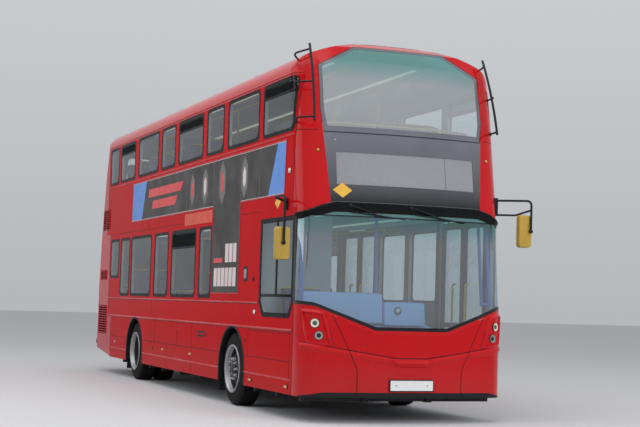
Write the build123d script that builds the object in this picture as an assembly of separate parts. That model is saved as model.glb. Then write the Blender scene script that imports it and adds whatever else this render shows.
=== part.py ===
from build123d import *
import math
import os

# A two-deck city bus, in millimetres: nose towards -Y, driver's side at -X, doors at +X, ground at Z = 0.
# The origin is below the middle of the body, on the ground.

# Overall sizes
BODY_LENGTH = 10950
BODY_WIDTH = 2520
ROOF_HEIGHT = 4400
FRONT_OVERHANG = 2700
WHEELBASE = 5200
WALL = 50
GLASS = 10

# Heights of the body's seams and decks
SKIRT_Z = 286
RAIL_Z = 1005
DECK_SPLIT_Z = 2400
UPPER_SILL_Z = 3275
FLOOR_Z = 340
FLOOR_THICK = 60
REAR_FLOOR_Z = 700
UPPER_FLOOR_Z = 2520
UPPER_FLOOR_THICK = 110

# Roof section: shoulder arc, then a flatter crown
SHOULDER_RADIUS = 280
SHOULDER_ANGLE = 22

# Plan outline: the bow of nose and tail, and their corners
NOSE_BOW_RADIUS = 4700
TAIL_BOW_RADIUS = 8000
NOSE_CORNER = 280
TAIL_CORNER = 150

# Seams, as distances behind the front axle
NOSE_SEAM = -2240
CROWN_SEAM = -2120
ROOF_SEAM = -1880
REAR_SKIRT_SEAM = 6970
REAR_LOWER_SEAM = 7230
REAR_UPPER_SEAM = 7480

# Wheels
TYRE_RADIUS = 460
TYRE_WIDTH = 275
RIM_RADIUS = 286
TWIN_GAP = 40
WHEEL_FACE_X = 1232
KINGPIN_X = 930
KINGPIN_RADIUS = 30
HUB_SHAFT_RADIUS = 45
RUNNING_CLEARANCE = 0.05
ARCH_RADIUS = 530
ARCH_HEIGHT = 472

# Sides of round things that are drawn with flat faces
WHEEL_SIDES = 32
BAR_SIDES = 12
TUBE_SIDES = 8
LAMP_SIDES = 12
ARCH_SIDES = 28
NOSE_CORNER_CHORDS = 5
TAIL_CORNER_CHORDS = 3

# Doors
DOOR_TOP_Z = DECK_SPLIT_Z
FRONT_DOOR = (-2090, -890)
CENTRE_DOOR = (1180, 2480)
LEAF_THICK = 30
LEAF_OFFSET = 50
LEAF_EDGE_GAP = 14
LEAF_MEET_GAP = 10
POST_SETBACK = 35
POST_RADIUS = 18
SPIGOT_RADIUS = 12
LEAF_RAIL = 65

# Side windows, in distances behind the front axle
UPPER_WINDOW_Z = (3290, 3905)
LOWER_WINDOW_Z = (1360, 2300)
WINDOW_CORNER = 60
CORNER_CHORDS = 2
# front edge, rear edge
UPPER_WINDOWS = (
    (-2070, -1000),
    (-835, 430),
    (630, 1400),
    (1600, 2860),
    (3060, 3840),
    (4050, 5320),
    (5570, 6590),
    (6750, 7380),
)
# front edge, rear edge, sill
LOWER_WINDOWS_RIGHT = (
    (1030, 1600, 1360),
    (1790, 3060, 1360),
    (3270, 4070, 1360),
    (4300, 5600, 1360),
    (5740, 6360, 1360),
    (6520, 7130, 1660),
)
LOWER_WINDOWS_LEFT = (
    (-760, 50, 1360),
    (200, 1030, 1360),
    (2640, 3740, 1360),
    (3900, 5000, 1360),
    (5160, 6360, 1360),
    (6520, 7130, 1660),
)
CAB_WINDOW = (
    (-2190, 2280),
    (-1045, 2280),
    (-1045, 1310),
    (-1180, 1160),
    (-2080, 1160),
    (-2190, 1310),
)

# Nose features: half widths and heights
CROWN_GLASS_HALF = (935, 1015, 1010, 560)
CROWN_GLASS_Z = (2455, 3500, 4040, 4285)
HEADER_Z = (2300, 2455)
HEADER_CORNER_HALF = 1240
WINDSCREEN_EDGE = ((0, 1010), (440, 1010), (930, 1190), (1130, 1300), (1300, 1320))
CREASE_EDGE = ((0, 735), (740, 810), (1300, 900))
PANEL_SEAM = ((930, 1190), (740, 810), (640, 590), (640, 0))
DISPLAY_HALF = 865
DISPLAY_Z = (2655, 3035)

HALF_WIDTH = BODY_WIDTH / 2
NOSE_Y = -BODY_LENGTH / 2
TAIL_Y = BODY_LENGTH / 2
FRONT_AXLE_Y = NOSE_Y + FRONT_OVERHANG
REAR_AXLE_Y = FRONT_AXLE_Y + WHEELBASE
WHEEL_X = WHEEL_FACE_X - TYRE_WIDTH / 2
HUB_Z = TYRE_RADIUS
INSIDE_X = HALF_WIDTH - WALL

# height, how far the nose stands back, how far the tail stands forward
OUTLINE_LEVELS = (
    (SKIRT_Z, 0, 0),
    (1180, 0, 0),
    (1560, 45, 0),
    (DECK_SPLIT_Z, 130, 90),
    (3500, 315, 300),
    (4040, 440, 460),
    (4290, 570, 700),
    (4350, 690, 860),
    (ROOF_HEIGHT, 900, 1150),
)


def aft(distance):
    return FRONT_AXLE_Y + distance


def block(x0, x1, y0, y1, z0, z1):
    size = Box(abs(x1 - x0), abs(y1 - y0), abs(z1 - z0))
    return Pos((x0 + x1) / 2, (y0 + y1) / 2, (z0 + z1) / 2) * size


def side_prism(points, x0, x1):
    face = make_face(Polyline(*[(0, y, z) for y, z in points], close=True))
    return Pos(x0, 0, 0) * extrude(face, amount=x1 - x0, dir=(1, 0, 0))


def front_prism(points, y0, y1):
    face = make_face(Polyline(*[(x, 0, z) for x, z in points], close=True))
    return Pos(0, y0, 0) * extrude(face, amount=y1 - y0, dir=(0, 1, 0))


def rod_x(x0, x1, y, z, radius):
    return Pos((x0 + x1) / 2, y, z) * Rot(0, 90, 0) * Cylinder(radius, abs(x1 - x0))


def rod_y(x, y0, y1, z, radius):
    return Pos(x, (y0 + y1) / 2, z) * Rot(90, 0, 0) * Cylinder(radius, abs(y1 - y0))


def rod_z(x, y, z0, z1, radius):
    return Pos(x, y, (z0 + z1) / 2) * Cylinder(radius, z1 - z0)


def bar_x(x0, x1, y, z, radius, sides=BAR_SIDES):
    section = Plane.YZ * RegularPolygon(radius, sides)
    return Pos(min(x0, x1), y, z) * extrude(section, amount=abs(x1 - x0), dir=(1, 0, 0))


def bar_y(x, y0, y1, z, radius, sides=BAR_SIDES):
    section = Plane.XZ * RegularPolygon(radius, sides)
    return Pos(x, min(y0, y1), z) * extrude(section, amount=abs(y1 - y0), dir=(0, 1, 0))


def bar_z(x, y, z0, z1, radius, sides=BAR_SIDES):
    return Pos(x, y, z0) * extrude(RegularPolygon(radius, sides), amount=z1 - z0)


def bend_points(points, bend):
    # each inner corner becomes two, so that the tube turns in short steps
    route = [Vector(points[0])]
    for before, corner, after in zip(points, points[1:], points[2:]):
        corner = Vector(corner)
        route.append(corner + (Vector(before) - corner).normalized() * bend)
        route.append(corner + (Vector(after) - corner).normalized() * bend)
    return route + [Vector(points[-1])]


def tube_path(points, radius, bend=0):
    path = Polyline(*(bend_points(points, bend) if bend else points))
    start = Plane(origin=path @ 0, z_dir=path % 0)
    return sweep(start * RegularPolygon(radius, TUBE_SIDES), path=path, transition=Transition.RIGHT)


def rounded_face(width, height, corner):
    points = []
    for quarter, (side, up) in enumerate(((1, 1), (-1, 1), (-1, -1), (1, -1))):
        for step in range(CORNER_CHORDS + 1):
            angle = math.radians(90 * (quarter + step / CORNER_CHORDS))
            across = side * (width / 2 - corner) + corner * math.cos(angle)
            points.append((across, up * (height / 2 - corner) + corner * math.sin(angle)))
    return make_face(Polyline(*points, close=True))


def mirrored(part):
    return mirror(part, about=Plane.YZ)


def both_sides(part):
    return [part, mirrored(part)]


def group(parts):
    solids = []
    for part in parts:
        solids.extend(part.solids())
    return Compound(solids)


# Body envelope
def chorded(face, count):
    # the arcs that a fillet has made become short chords
    edges = []
    for edge in face.edges():
        if edge.geom_type == GeomType.CIRCLE and edge.radius <= NOSE_CORNER:
            edges += Polyline(*[edge @ (step / count) for step in range(count + 1)]).edges()
        else:
            edges.append(edge)
    return make_face(edges)


def plan_outline(inset):
    half = HALF_WIDTH - inset
    nose = NOSE_Y + inset
    tail = TAIL_Y - inset
    nose_bow = half * half / (2 * NOSE_BOW_RADIUS)
    tail_bow = half * half / (2 * TAIL_BOW_RADIUS)
    edges = [
        ThreePointArc((-half, nose + nose_bow), (0, nose), (half, nose + nose_bow)),
        Line((half, nose + nose_bow), (half, tail - tail_bow)),
        ThreePointArc((half, tail - tail_bow), (0, tail), (-half, tail - tail_bow)),
        Line((-half, tail - tail_bow), (-half, nose + nose_bow)),
    ]
    face = make_face(edges)
    face = chorded(fillet(face.vertices().sort_by(Axis.Y)[:2], NOSE_CORNER - inset), NOSE_CORNER_CHORDS)
    return chorded(fillet(face.vertices().sort_by(Axis.Y)[-2:], TAIL_CORNER - inset), TAIL_CORNER_CHORDS)


def leaning_band(outline, low, high, shift_low, shift_high):
    lean = Vector(0, shift_high - shift_low, high - low)
    return extrude(Pos(0, shift_low, low) * outline, amount=lean.length, dir=lean)


def roof_section(inset):
    half = HALF_WIDTH - inset
    angle = math.radians(SHOULDER_ANGLE)
    centre_x = HALF_WIDTH - SHOULDER_RADIUS
    radius = SHOULDER_RADIUS - inset
    crown = centre_x / math.sin(angle) + SHOULDER_RADIUS
    centre_z = ROOF_HEIGHT - crown
    shoulder_z = centre_z + (crown - SHOULDER_RADIUS) * math.cos(angle)
    mid = (math.radians(90) + angle) / 2
    arc_mid = (centre_x + radius * math.sin(mid), shoulder_z + radius * math.cos(mid))
    arc_end = (centre_x + radius * math.sin(angle), shoulder_z + radius * math.cos(angle))

    def at(x, z):
        return (x, 0, z)

    low = -200 if inset else 0
    edges = [
        Line(at(-half, low), at(half, low)),
        Line(at(half, low), at(half, shoulder_z)),
        ThreePointArc(at(half, shoulder_z), at(*arc_mid), at(*arc_end)),
        ThreePointArc(at(*arc_end), at(0, ROOF_HEIGHT - inset), at(-arc_end[0], arc_end[1])),
        ThreePointArc(at(-arc_end[0], arc_end[1]), at(-arc_mid[0], arc_mid[1]), at(-half, shoulder_z)),
        Line(at(-half, shoulder_z), at(-half, low)),
    ]
    return make_face(edges)


def envelope(inset):
    outline = plan_outline(inset)
    nose_half = block(-OUT_X, OUT_X, BOX_FRONT, 0, 0, TOP_Z)
    tail_half = block(-OUT_X, OUT_X, 0, BOX_REAR, 0, TOP_Z)
    bands = []
    for (low, nose0, tail0), (high, nose1, tail1) in zip(OUTLINE_LEVELS, OUTLINE_LEVELS[1:]):
        foot = 0 if inset and low == SKIRT_Z else low
        bands.append(leaning_band(outline, foot, high, nose0, nose1) & nose_half)
        bands.append(leaning_band(outline, foot, high, -tail0, -tail1) & tail_half)
    tall = bands[0].fuse(*bands[1:]).clean()
    section = Pos(0, NOSE_Y - 100, 0) * extrude(roof_section(inset), amount=BODY_LENGTH + 200, dir=(0, 1, 0))
    return tall & section


BOX_FRONT = NOSE_Y - 200
BOX_REAR = TAIL_Y + 200
OUT_X = HALF_WIDTH + 100
TOP_Z = ROOF_HEIGHT + 100
OUTSIDE = envelope(0)
INSIDE = envelope(WALL)
SHELL = OUTSIDE - INSIDE
PANE = OUTSIDE - envelope(GLASS)


def nose_y(x, z):
    for (low, back0, _), (high, back1, _) in zip(OUTLINE_LEVELS, OUTLINE_LEVELS[1:]):
        if z <= high:
            break
    return NOSE_Y + back0 + (back1 - back0) * (z - low) / (high - low) + x * x / (2 * NOSE_BOW_RADIUS)


def window_cut(front, rear, low, high, side, corner=WINDOW_CORNER):
    face = Plane.YZ * rounded_face(rear - front, high - low, corner)
    cut = extrude(face, amount=400, dir=(1, 0, 0))
    x0 = INSIDE_X - 150 if side > 0 else -INSIDE_X - 250
    return Pos(x0, aft((front + rear) / 2), (low + high) / 2) * cut


def arch_cut(axle_y, x0, x1, radius=ARCH_RADIUS):
    round_part = bar_x(x0, x1, axle_y, ARCH_HEIGHT, radius, ARCH_SIDES)
    return round_part + block(x0, x1, axle_y - radius, axle_y + radius, 0, ARCH_HEIGHT)


def cab_window_cut():
    points = [(aft(y), z) for y, z in CAB_WINDOW]
    return side_prism(points, -INSIDE_X - 250, -INSIDE_X + 150)


def upper_window_cuts(side):
    return [window_cut(a, b, *UPPER_WINDOW_Z, side) for a, b in UPPER_WINDOWS]


def lower_window_cuts(table, side):
    return [window_cut(a, b, sill, LOWER_WINDOW_Z[1], side) for a, b, sill in table]


# Side panels
def side_region(side, front, rear, z0, z1):
    inner = side * (INSIDE_X - 60)
    outer = side * OUT_X
    return block(min(inner, outer), max(inner, outer), aft(front), aft(rear), z0, z1)


def side_lower_right():
    wall = SHELL & side_region(-1, NOSE_SEAM, REAR_LOWER_SEAM, RAIL_Z, DECK_SPLIT_Z)
    wall -= cab_window_cut()
    for cut in lower_window_cuts(LOWER_WINDOWS_RIGHT, -1):
        wall -= cut
    return wall


def side_lower_left():
    between = SHELL & side_region(1, FRONT_DOOR[1], CENTRE_DOOR[0], RAIL_Z, DECK_SPLIT_Z)
    behind = SHELL & side_region(1, CENTRE_DOOR[1], REAR_LOWER_SEAM, RAIL_Z, DECK_SPLIT_Z)
    post = SHELL & side_region(1, NOSE_SEAM, FRONT_DOOR[0], SKIRT_Z, DECK_SPLIT_Z)
    walls = between + behind + post
    for cut in lower_window_cuts(LOWER_WINDOWS_LEFT, 1):
        walls -= cut
    return walls


ROOF_EDGE_Z = UPPER_WINDOW_Z[1] + 20


def side_upper(side):
    wall = SHELL & side_region(side, CROWN_SEAM, REAR_UPPER_SEAM, DECK_SPLIT_Z, ROOF_EDGE_Z)
    for cut in upper_window_cuts(side):
        wall -= cut
    return wall


def skirt_panels():
    right = SHELL & side_region(-1, NOSE_SEAM, REAR_SKIRT_SEAM, 0, RAIL_Z)
    left_mid = SHELL & side_region(1, FRONT_DOOR[1], CENTRE_DOOR[0], 0, RAIL_Z)
    left_rear = SHELL & side_region(1, CENTRE_DOOR[1], REAR_SKIRT_SEAM, 0, RAIL_Z)
    skirts = right + left_mid + left_rear
    for axle in (FRONT_AXLE_Y, REAR_AXLE_Y):
        skirts -= arch_cut(axle, -OUT_X, OUT_X)
    return skirts


# Roof and crown
def roof():
    return SHELL & block(-OUT_X, OUT_X, aft(ROOF_SEAM), aft(REAR_UPPER_SEAM), ROOF_EDGE_Z, TOP_Z)


def crown_glass_prism(z0, z1, grow=0):
    low, mid, high, kink = (value + grow for value in CROWN_GLASS_HALF)
    right = [(low, CROWN_GLASS_Z[0]), (mid, CROWN_GLASS_Z[1]), (high, CROWN_GLASS_Z[2]), (kink, CROWN_GLASS_Z[3])]
    left = [(-x, z) for x, z in reversed(right)]
    prism = front_prism(right + left, BOX_FRONT, aft(CROWN_SEAM) + 100)
    return prism & block(-OUT_X, OUT_X, BOX_FRONT, aft(CROWN_SEAM) + 200, z0, z1)


def crown_region(z0, z1):
    return SHELL & block(-OUT_X, OUT_X, BOX_FRONT, aft(CROWN_SEAM), z0, z1)


def front_dome():
    posts = crown_region(UPPER_SILL_Z, ROOF_EDGE_Z)
    cap = SHELL & block(-OUT_X, OUT_X, BOX_FRONT, aft(ROOF_SEAM), ROOF_EDGE_Z, TOP_Z)
    return posts + cap - crown_glass_prism(0, TOP_Z)


def header_prism():
    z0, z1 = HEADER_Z
    slope = 60
    points = [(-OUT_X, z0), (OUT_X, z0), (HEADER_CORNER_HALF, z0 + slope / 3), (CROWN_GLASS_HALF[0], z1)]
    points += [(-CROWN_GLASS_HALF[0], z1), (-HEADER_CORNER_HALF, z0 + slope / 3)]
    return front_prism(points, BOX_FRONT, aft(NOSE_SEAM))


def front_corners():
    corners = crown_region(HEADER_Z[0], UPPER_SILL_Z) - crown_glass_prism(0, TOP_Z)
    strip = block(-OUT_X, OUT_X, aft(NOSE_SEAM), aft(CROWN_SEAM), 0, DECK_SPLIT_Z)
    return corners - header_prism() - strip


def windscreen_upper():
    return PANE & crown_glass_prism(UPPER_SILL_Z, TOP_Z)


def display_cut():
    return block(-DISPLAY_HALF, DISPLAY_HALF, BOX_FRONT, NOSE_Y + 1000, *DISPLAY_Z)


def destination_panel():
    panel = SHELL & crown_glass_prism(CROWN_GLASS_Z[0], UPPER_SILL_Z)
    return panel - (PANE & display_cut())


def windscreen_header():
    return SHELL & header_prism()


# Nose below the windscreen
def nose_region(z0, z1):
    return block(-OUT_X, OUT_X, BOX_FRONT, aft(NOSE_SEAM), z0, z1)


def below_line(line, low):
    right = [(x, z) for x, z in line]
    left = [(-x, z) for x, z in reversed(line)]
    points = left + right + [(line[-1][0], low), (-line[-1][0], low)]
    clean = []
    for point in points:
        if point not in clean:
            clean.append(point)
    return front_prism(clean, BOX_FRONT, aft(NOSE_SEAM))


def seam_prism():
    right = list(PANEL_SEAM)
    left = [(-x, z) for x, z in reversed(PANEL_SEAM)]
    return front_prism(left + right, BOX_FRONT, aft(NOSE_SEAM))


LAMP_PLACES = ((1118, 1100), (1075, 965))
LAMP_RADIUS = 48
LAMP_DEPTH = 60


def headlamps():
    lamps = []
    for x, z in LAMP_PLACES:
        for side in (-1, 1):
            barrel = bar_y(side * x, NOSE_Y, NOSE_Y + 400, z, LAMP_RADIUS, LAMP_SIDES)
            lamps.append(barrel & SHELL)
    return lamps


def nose_panels():
    lower = SHELL & nose_region(SKIRT_Z - 10, 1400)
    lower = lower & below_line(WINDSCREEN_EDGE, 0)
    crease = below_line(CREASE_EDGE, 0)
    middle = seam_prism()
    front_panel = (lower & middle) - crease
    bumper = lower & middle & crease
    corners = lower - middle
    for lamp in headlamps():
        corners -= lamp
    return front_panel, bumper, corners


def windscreen_lower():
    glass = PANE & nose_region(RAIL_Z, HEADER_Z[0] + 10)
    return glass - below_line(WINDSCREEN_EDGE, 0) - header_prism()


# Rear
REAR_WINDOW = (900, 3300, 3880)
LID_HALF = 950
LID_Z = (620, 1500)
LID_GAP = 6
LID_FOOT_GAP = 14
TAIL_LAMPS = ((1090, 1000), (1090, 1130), (1090, 1260), (1090, 1390))
TAIL_LAMP_RADIUS = 50
DEPARTURE = ((6840, 0), (6840, SKIRT_Z), (8220, 430), (8700, 480), (8700, 0))


def tail_region(front, z0, z1):
    return block(-OUT_X, OUT_X, aft(front), BOX_REAR, z0, z1)


def tail_lamps():
    lamps = []
    for x, z in TAIL_LAMPS:
        for side in (-1, 1):
            barrel = bar_y(side * x, TAIL_Y - 300, TAIL_Y + 50, z, TAIL_LAMP_RADIUS, LAMP_SIDES)
            lamps.append(barrel & SHELL)
    return lamps


HINGE_Y = TAIL_Y + 14
HINGE_Z = LID_Z[1] - 3
HINGE_PLACES = (-620, 620)
HINGE_BARREL = 20
HINGE_RADIUS = 10
HINGE_PIN_RADIUS = 5
HINGE_LUG_HEIGHT = 46


def tail_y(x):
    return TAIL_Y - x * x / (2 * TAIL_BOW_RADIUS)


def hinge_leaf(x, start, up):
    # one barrel with its lug, from start along X; up is 1 on the body and -1 on the lid
    z0, z1 = sorted((HINGE_Z + up * HINGE_RADIUS / 2, HINGE_Z + up * HINGE_LUG_HEIGHT))
    lug = block(x + start, x + start + HINGE_BARREL, tail_y(x) - WALL / 2, HINGE_Y + HINGE_RADIUS / 2, z0, z1)
    return lug + rod_x(x + start, x + start + HINGE_BARREL, HINGE_Y, HINGE_Z, HINGE_RADIUS)


def rear_lower():
    tail = SHELL & tail_region(REAR_LOWER_SEAM, RAIL_Z, DECK_SPLIT_Z)
    tail += SHELL & tail_region(REAR_SKIRT_SEAM, 0, RAIL_Z)
    tail -= side_prism([(aft(y), z) for y, z in DEPARTURE], -OUT_X, OUT_X)
    tail -= block(-LID_HALF, LID_HALF, TAIL_Y - 400, BOX_REAR, *LID_Z)
    for lamp in tail_lamps():
        tail -= lamp
    for x in HINGE_PLACES:
        tail += hinge_leaf(x, 1, 1)
        tail += rod_x(x - HINGE_BARREL, x + 5, HINGE_Y, HINGE_Z, HINGE_PIN_RADIUS)
    return tail


def engine_lid():
    low, high = LID_Z
    half = LID_HALF - LID_GAP
    lid = SHELL & block(-half, half, TAIL_Y - 400, BOX_REAR, low + LID_FOOT_GAP, high - LID_GAP)
    for x in HINGE_PLACES:
        bore = rod_x(x - HINGE_BARREL - 5, x + 5, HINGE_Y, HINGE_Z, HINGE_PIN_RADIUS + RUNNING_CLEARANCE)
        lid += hinge_leaf(x, -1 - HINGE_BARREL, -1) - bore
    return lid


def rear_window_cut():
    half, low, high = REAR_WINDOW
    face = Plane.XZ * rounded_face(2 * half, high - low, WINDOW_CORNER)
    return Pos(0, TAIL_Y - 700, (low + high) / 2) * extrude(face, amount=900, dir=(0, 1, 0))


def rear_upper():
    tail = SHELL & tail_region(REAR_UPPER_SEAM, DECK_SPLIT_Z, TOP_Z)
    return tail - rear_window_cut()


def rear_window():
    return PANE & rear_window_cut()


# Glazing
def side_windows_lower():
    panes = [PANE & cab_window_cut()]
    panes += [PANE & cut for cut in lower_window_cuts(LOWER_WINDOWS_RIGHT, -1)]
    panes += [PANE & cut for cut in lower_window_cuts(LOWER_WINDOWS_LEFT, 1)]
    return group(panes)


def side_windows_upper():
    panes = []
    for side in (-1, 1):
        panes += [PANE & cut for cut in upper_window_cuts(side)]
    return group(panes)


# Decks
WHEEL_BOX_INNER_X = 560
WHEEL_BOX_HALF = 620
WHEEL_BOX_TOP_Z = 1040
WHEEL_BOX_WALL = 20
AXLE_WAY = 105
FLOOR_STEP = 4150


def wheel_box_space(axle_y, side, grow=0):
    x0 = side * (WHEEL_BOX_INNER_X - grow)
    x1 = side * (OUT_X)
    half = WHEEL_BOX_HALF + grow
    return block(min(x0, x1), max(x0, x1), axle_y - half, axle_y + half, 0, WHEEL_BOX_TOP_Z + grow)


def wheel_boxes():
    boxes = []
    for axle in (FRONT_AXLE_Y, REAR_AXLE_Y):
        for side in (-1, 1):
            box = wheel_box_space(axle, side, WHEEL_BOX_WALL) - wheel_box_space(axle, side)
            box -= block(-OUT_X, OUT_X, axle - AXLE_WAY, axle + AXLE_WAY, 0, HUB_Z + AXLE_WAY)
            low = FLOOR_Z - FLOOR_THICK
            limit = block(-INSIDE_X, INSIDE_X, aft(-3000), aft(9000), low, TOP_Z)
            boxes.append(box & limit)
    return boxes


ENGINE_DECK_Z = 1180
ENGINE_STEP = 6500
FLOOR_FRONT = -2380
FLOOR_REAR = 7900
PANEL_GAP = 4


def lower_floor():
    # a low floor in front and a raised one behind, with a gap where their panels meet
    low = FLOOR_Z - FLOOR_THICK
    rear_low = REAR_FLOOR_Z - FLOOR_THICK
    deck_low = ENGINE_DECK_Z - FLOOR_THICK
    step = FLOOR_STEP + PANEL_GAP
    front = block(-INSIDE_X - 5, INSIDE_X + 5, aft(FLOOR_FRONT), aft(FLOOR_STEP), low, FLOOR_Z) & INSIDE
    profile = [
        (step, low), (step + FLOOR_THICK, low), (step + FLOOR_THICK, rear_low), (ENGINE_STEP + FLOOR_THICK, rear_low),
        (ENGINE_STEP + FLOOR_THICK, deck_low), (FLOOR_REAR, deck_low), (FLOOR_REAR, ENGINE_DECK_Z),
        (ENGINE_STEP, ENGINE_DECK_Z), (ENGINE_STEP, REAR_FLOOR_Z), (step, REAR_FLOOR_Z),
    ]
    rear = side_prism([(aft(y), z) for y, z in profile], -INSIDE_X - 5, INSIDE_X + 5) & INSIDE
    for span in (FRONT_DOOR, CENTRE_DOOR):
        front += block(INSIDE_X - 5, HALF_WIDTH - 4, aft(span[0]), aft(span[1]), low, FLOOR_Z)
    for side in (-1, 1):
        front -= wheel_box_space(FRONT_AXLE_Y, side, WHEEL_BOX_WALL)
        rear -= wheel_box_space(REAR_AXLE_Y, side, WHEEL_BOX_WALL)
    for x, y in post_places():
        front -= rod_z(x, y, FLOOR_Z - 30, FLOOR_Z + 10, SPIGOT_RADIUS + RUNNING_CLEARANCE)
    return [front, rear]


STAIR_FRONT = -900
STAIR_REAR = 1000
STAIR_INNER_X = -560
STAIR_STEPS = 9


def upper_floor():
    low = UPPER_FLOOR_Z - UPPER_FLOOR_THICK
    floor = block(-INSIDE_X - 5, INSIDE_X + 5, aft(-2330), aft(7800), low, UPPER_FLOOR_Z) & INSIDE
    floor -= block(-INSIDE_X - 5, STAIR_INNER_X, aft(STAIR_FRONT + 350), aft(STAIR_REAR), 0, TOP_Z)
    for x, y in post_places():
        floor -= rod_z(x, y, low - 10, low + 30, SPIGOT_RADIUS + RUNNING_CLEARANCE)
    return floor


def staircase():
    rise = (UPPER_FLOOR_Z - FLOOR_Z) / STAIR_STEPS
    run = (STAIR_REAR - STAIR_FRONT - 300) / (STAIR_STEPS - 1)
    points_top = []
    y = aft(STAIR_REAR) - run * (STAIR_STEPS - 1)
    z = FLOOR_Z
    points_top.append((y, z))
    for index in range(STAIR_STEPS - 1):
        z += rise
        points_top.append((y, z))
        y += run
        points_top.append((y, z))
    thick = 60
    points_low = [(y, z - rise - thick)]
    points_low.append((aft(STAIR_REAR) - run * (STAIR_STEPS - 1) + run, FLOOR_Z))
    stair = side_prism(points_top + points_low, -INSIDE_X, STAIR_INNER_X)
    return stair - wheel_box_space(FRONT_AXLE_Y, -1, WHEEL_BOX_WALL)


# Doors: inward-gliding leaves. The arms swing with the upright and pass above and below the leaf,
# which turns back by twice the arm's angle, so that its leading edge stays near the doorway's line.
def door_posts():
    # upright's distance behind the front axle, direction of the leaf from it, reach to the doorway's middle
    posts = []
    for front, rear in (FRONT_DOOR, CENTRE_DOOR):
        reach = (rear - front) / 2 + POST_SETBACK
        posts.append((front - POST_SETBACK, 1, reach))
        posts.append((rear + POST_SETBACK, -1, reach))
    return posts


DOOR_LINE_X = HALF_WIDTH - 8 - LEAF_THICK / 2 - LEAF_OFFSET
ARM_HEIGHT = 22
ARM_THICK = 24
ARM_GAP = 6
PIN_RADIUS = 8
EYE_RADIUS = 16
LUG_HEIGHT = 16
DECK_UNDERSIDE_Z = UPPER_FLOOR_Z - UPPER_FLOOR_THICK
LEAF_LOW_Z = FLOOR_Z + ARM_GAP + ARM_HEIGHT + ARM_GAP
LEAF_HIGH_Z = DECK_UNDERSIDE_Z - ARM_GAP - ARM_HEIGHT - ARM_GAP
# lower end of each arm, lower and upper end of the leaf's lug beside it
ARM_LEVELS = (
    (FLOOR_Z + ARM_GAP, LEAF_LOW_Z, LEAF_LOW_Z + LUG_HEIGHT),
    (DECK_UNDERSIDE_Z - ARM_GAP - ARM_HEIGHT, LEAF_HIGH_Z - LUG_HEIGHT, LEAF_HIGH_Z),
)


def post_places():
    return [(DOOR_LINE_X, aft(place)) for place, _, _ in door_posts()]


def door_arm(place, direction, reach):
    y = aft(place)
    middle = y + direction * reach / 2
    end = middle + direction * EYE_RADIUS
    half = ARM_THICK / 2
    arm = bar_z(DOOR_LINE_X, y, FLOOR_Z + ARM_GAP, DECK_UNDERSIDE_Z - ARM_GAP, POST_RADIUS)
    arm += rod_z(DOOR_LINE_X, y, FLOOR_Z - 25, DECK_UNDERSIDE_Z + 25, SPIGOT_RADIUS)
    for z, _, _ in ARM_LEVELS:
        arm += block(DOOR_LINE_X - half, DOOR_LINE_X + half, min(y, end), max(y, end), z, z + ARM_HEIGHT)
        arm -= rod_z(DOOR_LINE_X, middle, z - 5, z + ARM_HEIGHT + 5, PIN_RADIUS + RUNNING_CLEARANCE)
    return arm


def door_leaf(place, direction, reach):
    near = aft(place) + direction * (POST_SETBACK + LEAF_EDGE_GAP)
    far = aft(place) + direction * (reach - LEAF_MEET_GAP / 2)
    middle = aft(place) + direction * reach / 2
    y0, y1 = min(near, far), max(near, far)
    x0 = DOOR_LINE_X + LEAF_OFFSET - LEAF_THICK / 2
    x1 = x0 + LEAF_THICK
    pane = (y0 + LEAF_RAIL, y1 - LEAF_RAIL, LEAF_LOW_Z + LEAF_RAIL, LEAF_HIGH_Z - LEAF_RAIL)
    leaf = block(x0, x1, y0, y1, LEAF_LOW_Z, LEAF_HIGH_Z)
    leaf -= block(x0 - 5, x0 + LEAF_THICK - 14, *pane)
    leaf -= block(x1 - 6, x1 + 5, *pane)
    for z, lug_low, lug_high in ARM_LEVELS:
        leaf += block(DOOR_LINE_X - EYE_RADIUS, x0, middle - EYE_RADIUS, middle + EYE_RADIUS, lug_low, lug_high)
        leaf += rod_z(DOOR_LINE_X, middle, min(z, lug_low), max(z + ARM_HEIGHT, lug_high), PIN_RADIUS)
    return leaf


# Running gear
def wheel_corners(radius, x):
    flat_radius = radius / math.cos(math.pi / WHEEL_SIDES)
    angles = [math.tau * (step + 0.5) / WHEEL_SIDES for step in range(WHEEL_SIDES)]
    return [(x, flat_radius * math.cos(angle), flat_radius * math.sin(angle)) for angle in angles]


def wheel_prism(radius, x0, x1):
    section = Face(Wire.make_polygon(wheel_corners(radius, min(x0, x1))))
    return extrude(section, amount=abs(x1 - x0), dir=(1, 0, 0))


def wheel_cone(radius0, radius1, x0, length):
    # narrows from radius0 at x0 to radius1, with one flat side for each of the wheel's sides
    near = wheel_corners(radius0, x0)
    far = wheel_corners(radius1, x0 + length)
    loops = [near, far]
    for step in range(WHEEL_SIDES):
        loops.append((near[step - 1], near[step], far[step], far[step - 1]))
    return Solid(Shell([Face(Wire.make_polygon(loop)) for loop in loops]))


TYRE_SHOULDER = 38


def tyre():
    half = TYRE_WIDTH / 2
    tread = wheel_prism(TYRE_RADIUS, -half, half)
    ends = tread.faces().sort_by(Axis.X)
    tread = chamfer(ends[0].edges() + ends[-1].edges(), TYRE_SHOULDER)
    return tread - wheel_prism(RIM_RADIUS, -half, half)


FLANGE_RADIUS = 303
BARREL_RADIUS = 262
FLANGE_THICK = 12
DISH_RADIUS = 150
DISH_DEPTH = 60
DISH_WALL = 14
HUB_RADIUS = 92
HUB_STAND = 100
HUB_BORE = HUB_SHAFT_RADIUS + RUNNING_CLEARANCE
TWIN_PITCH = TYRE_WIDTH + TWIN_GAP
WEB_HALF = 15


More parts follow.
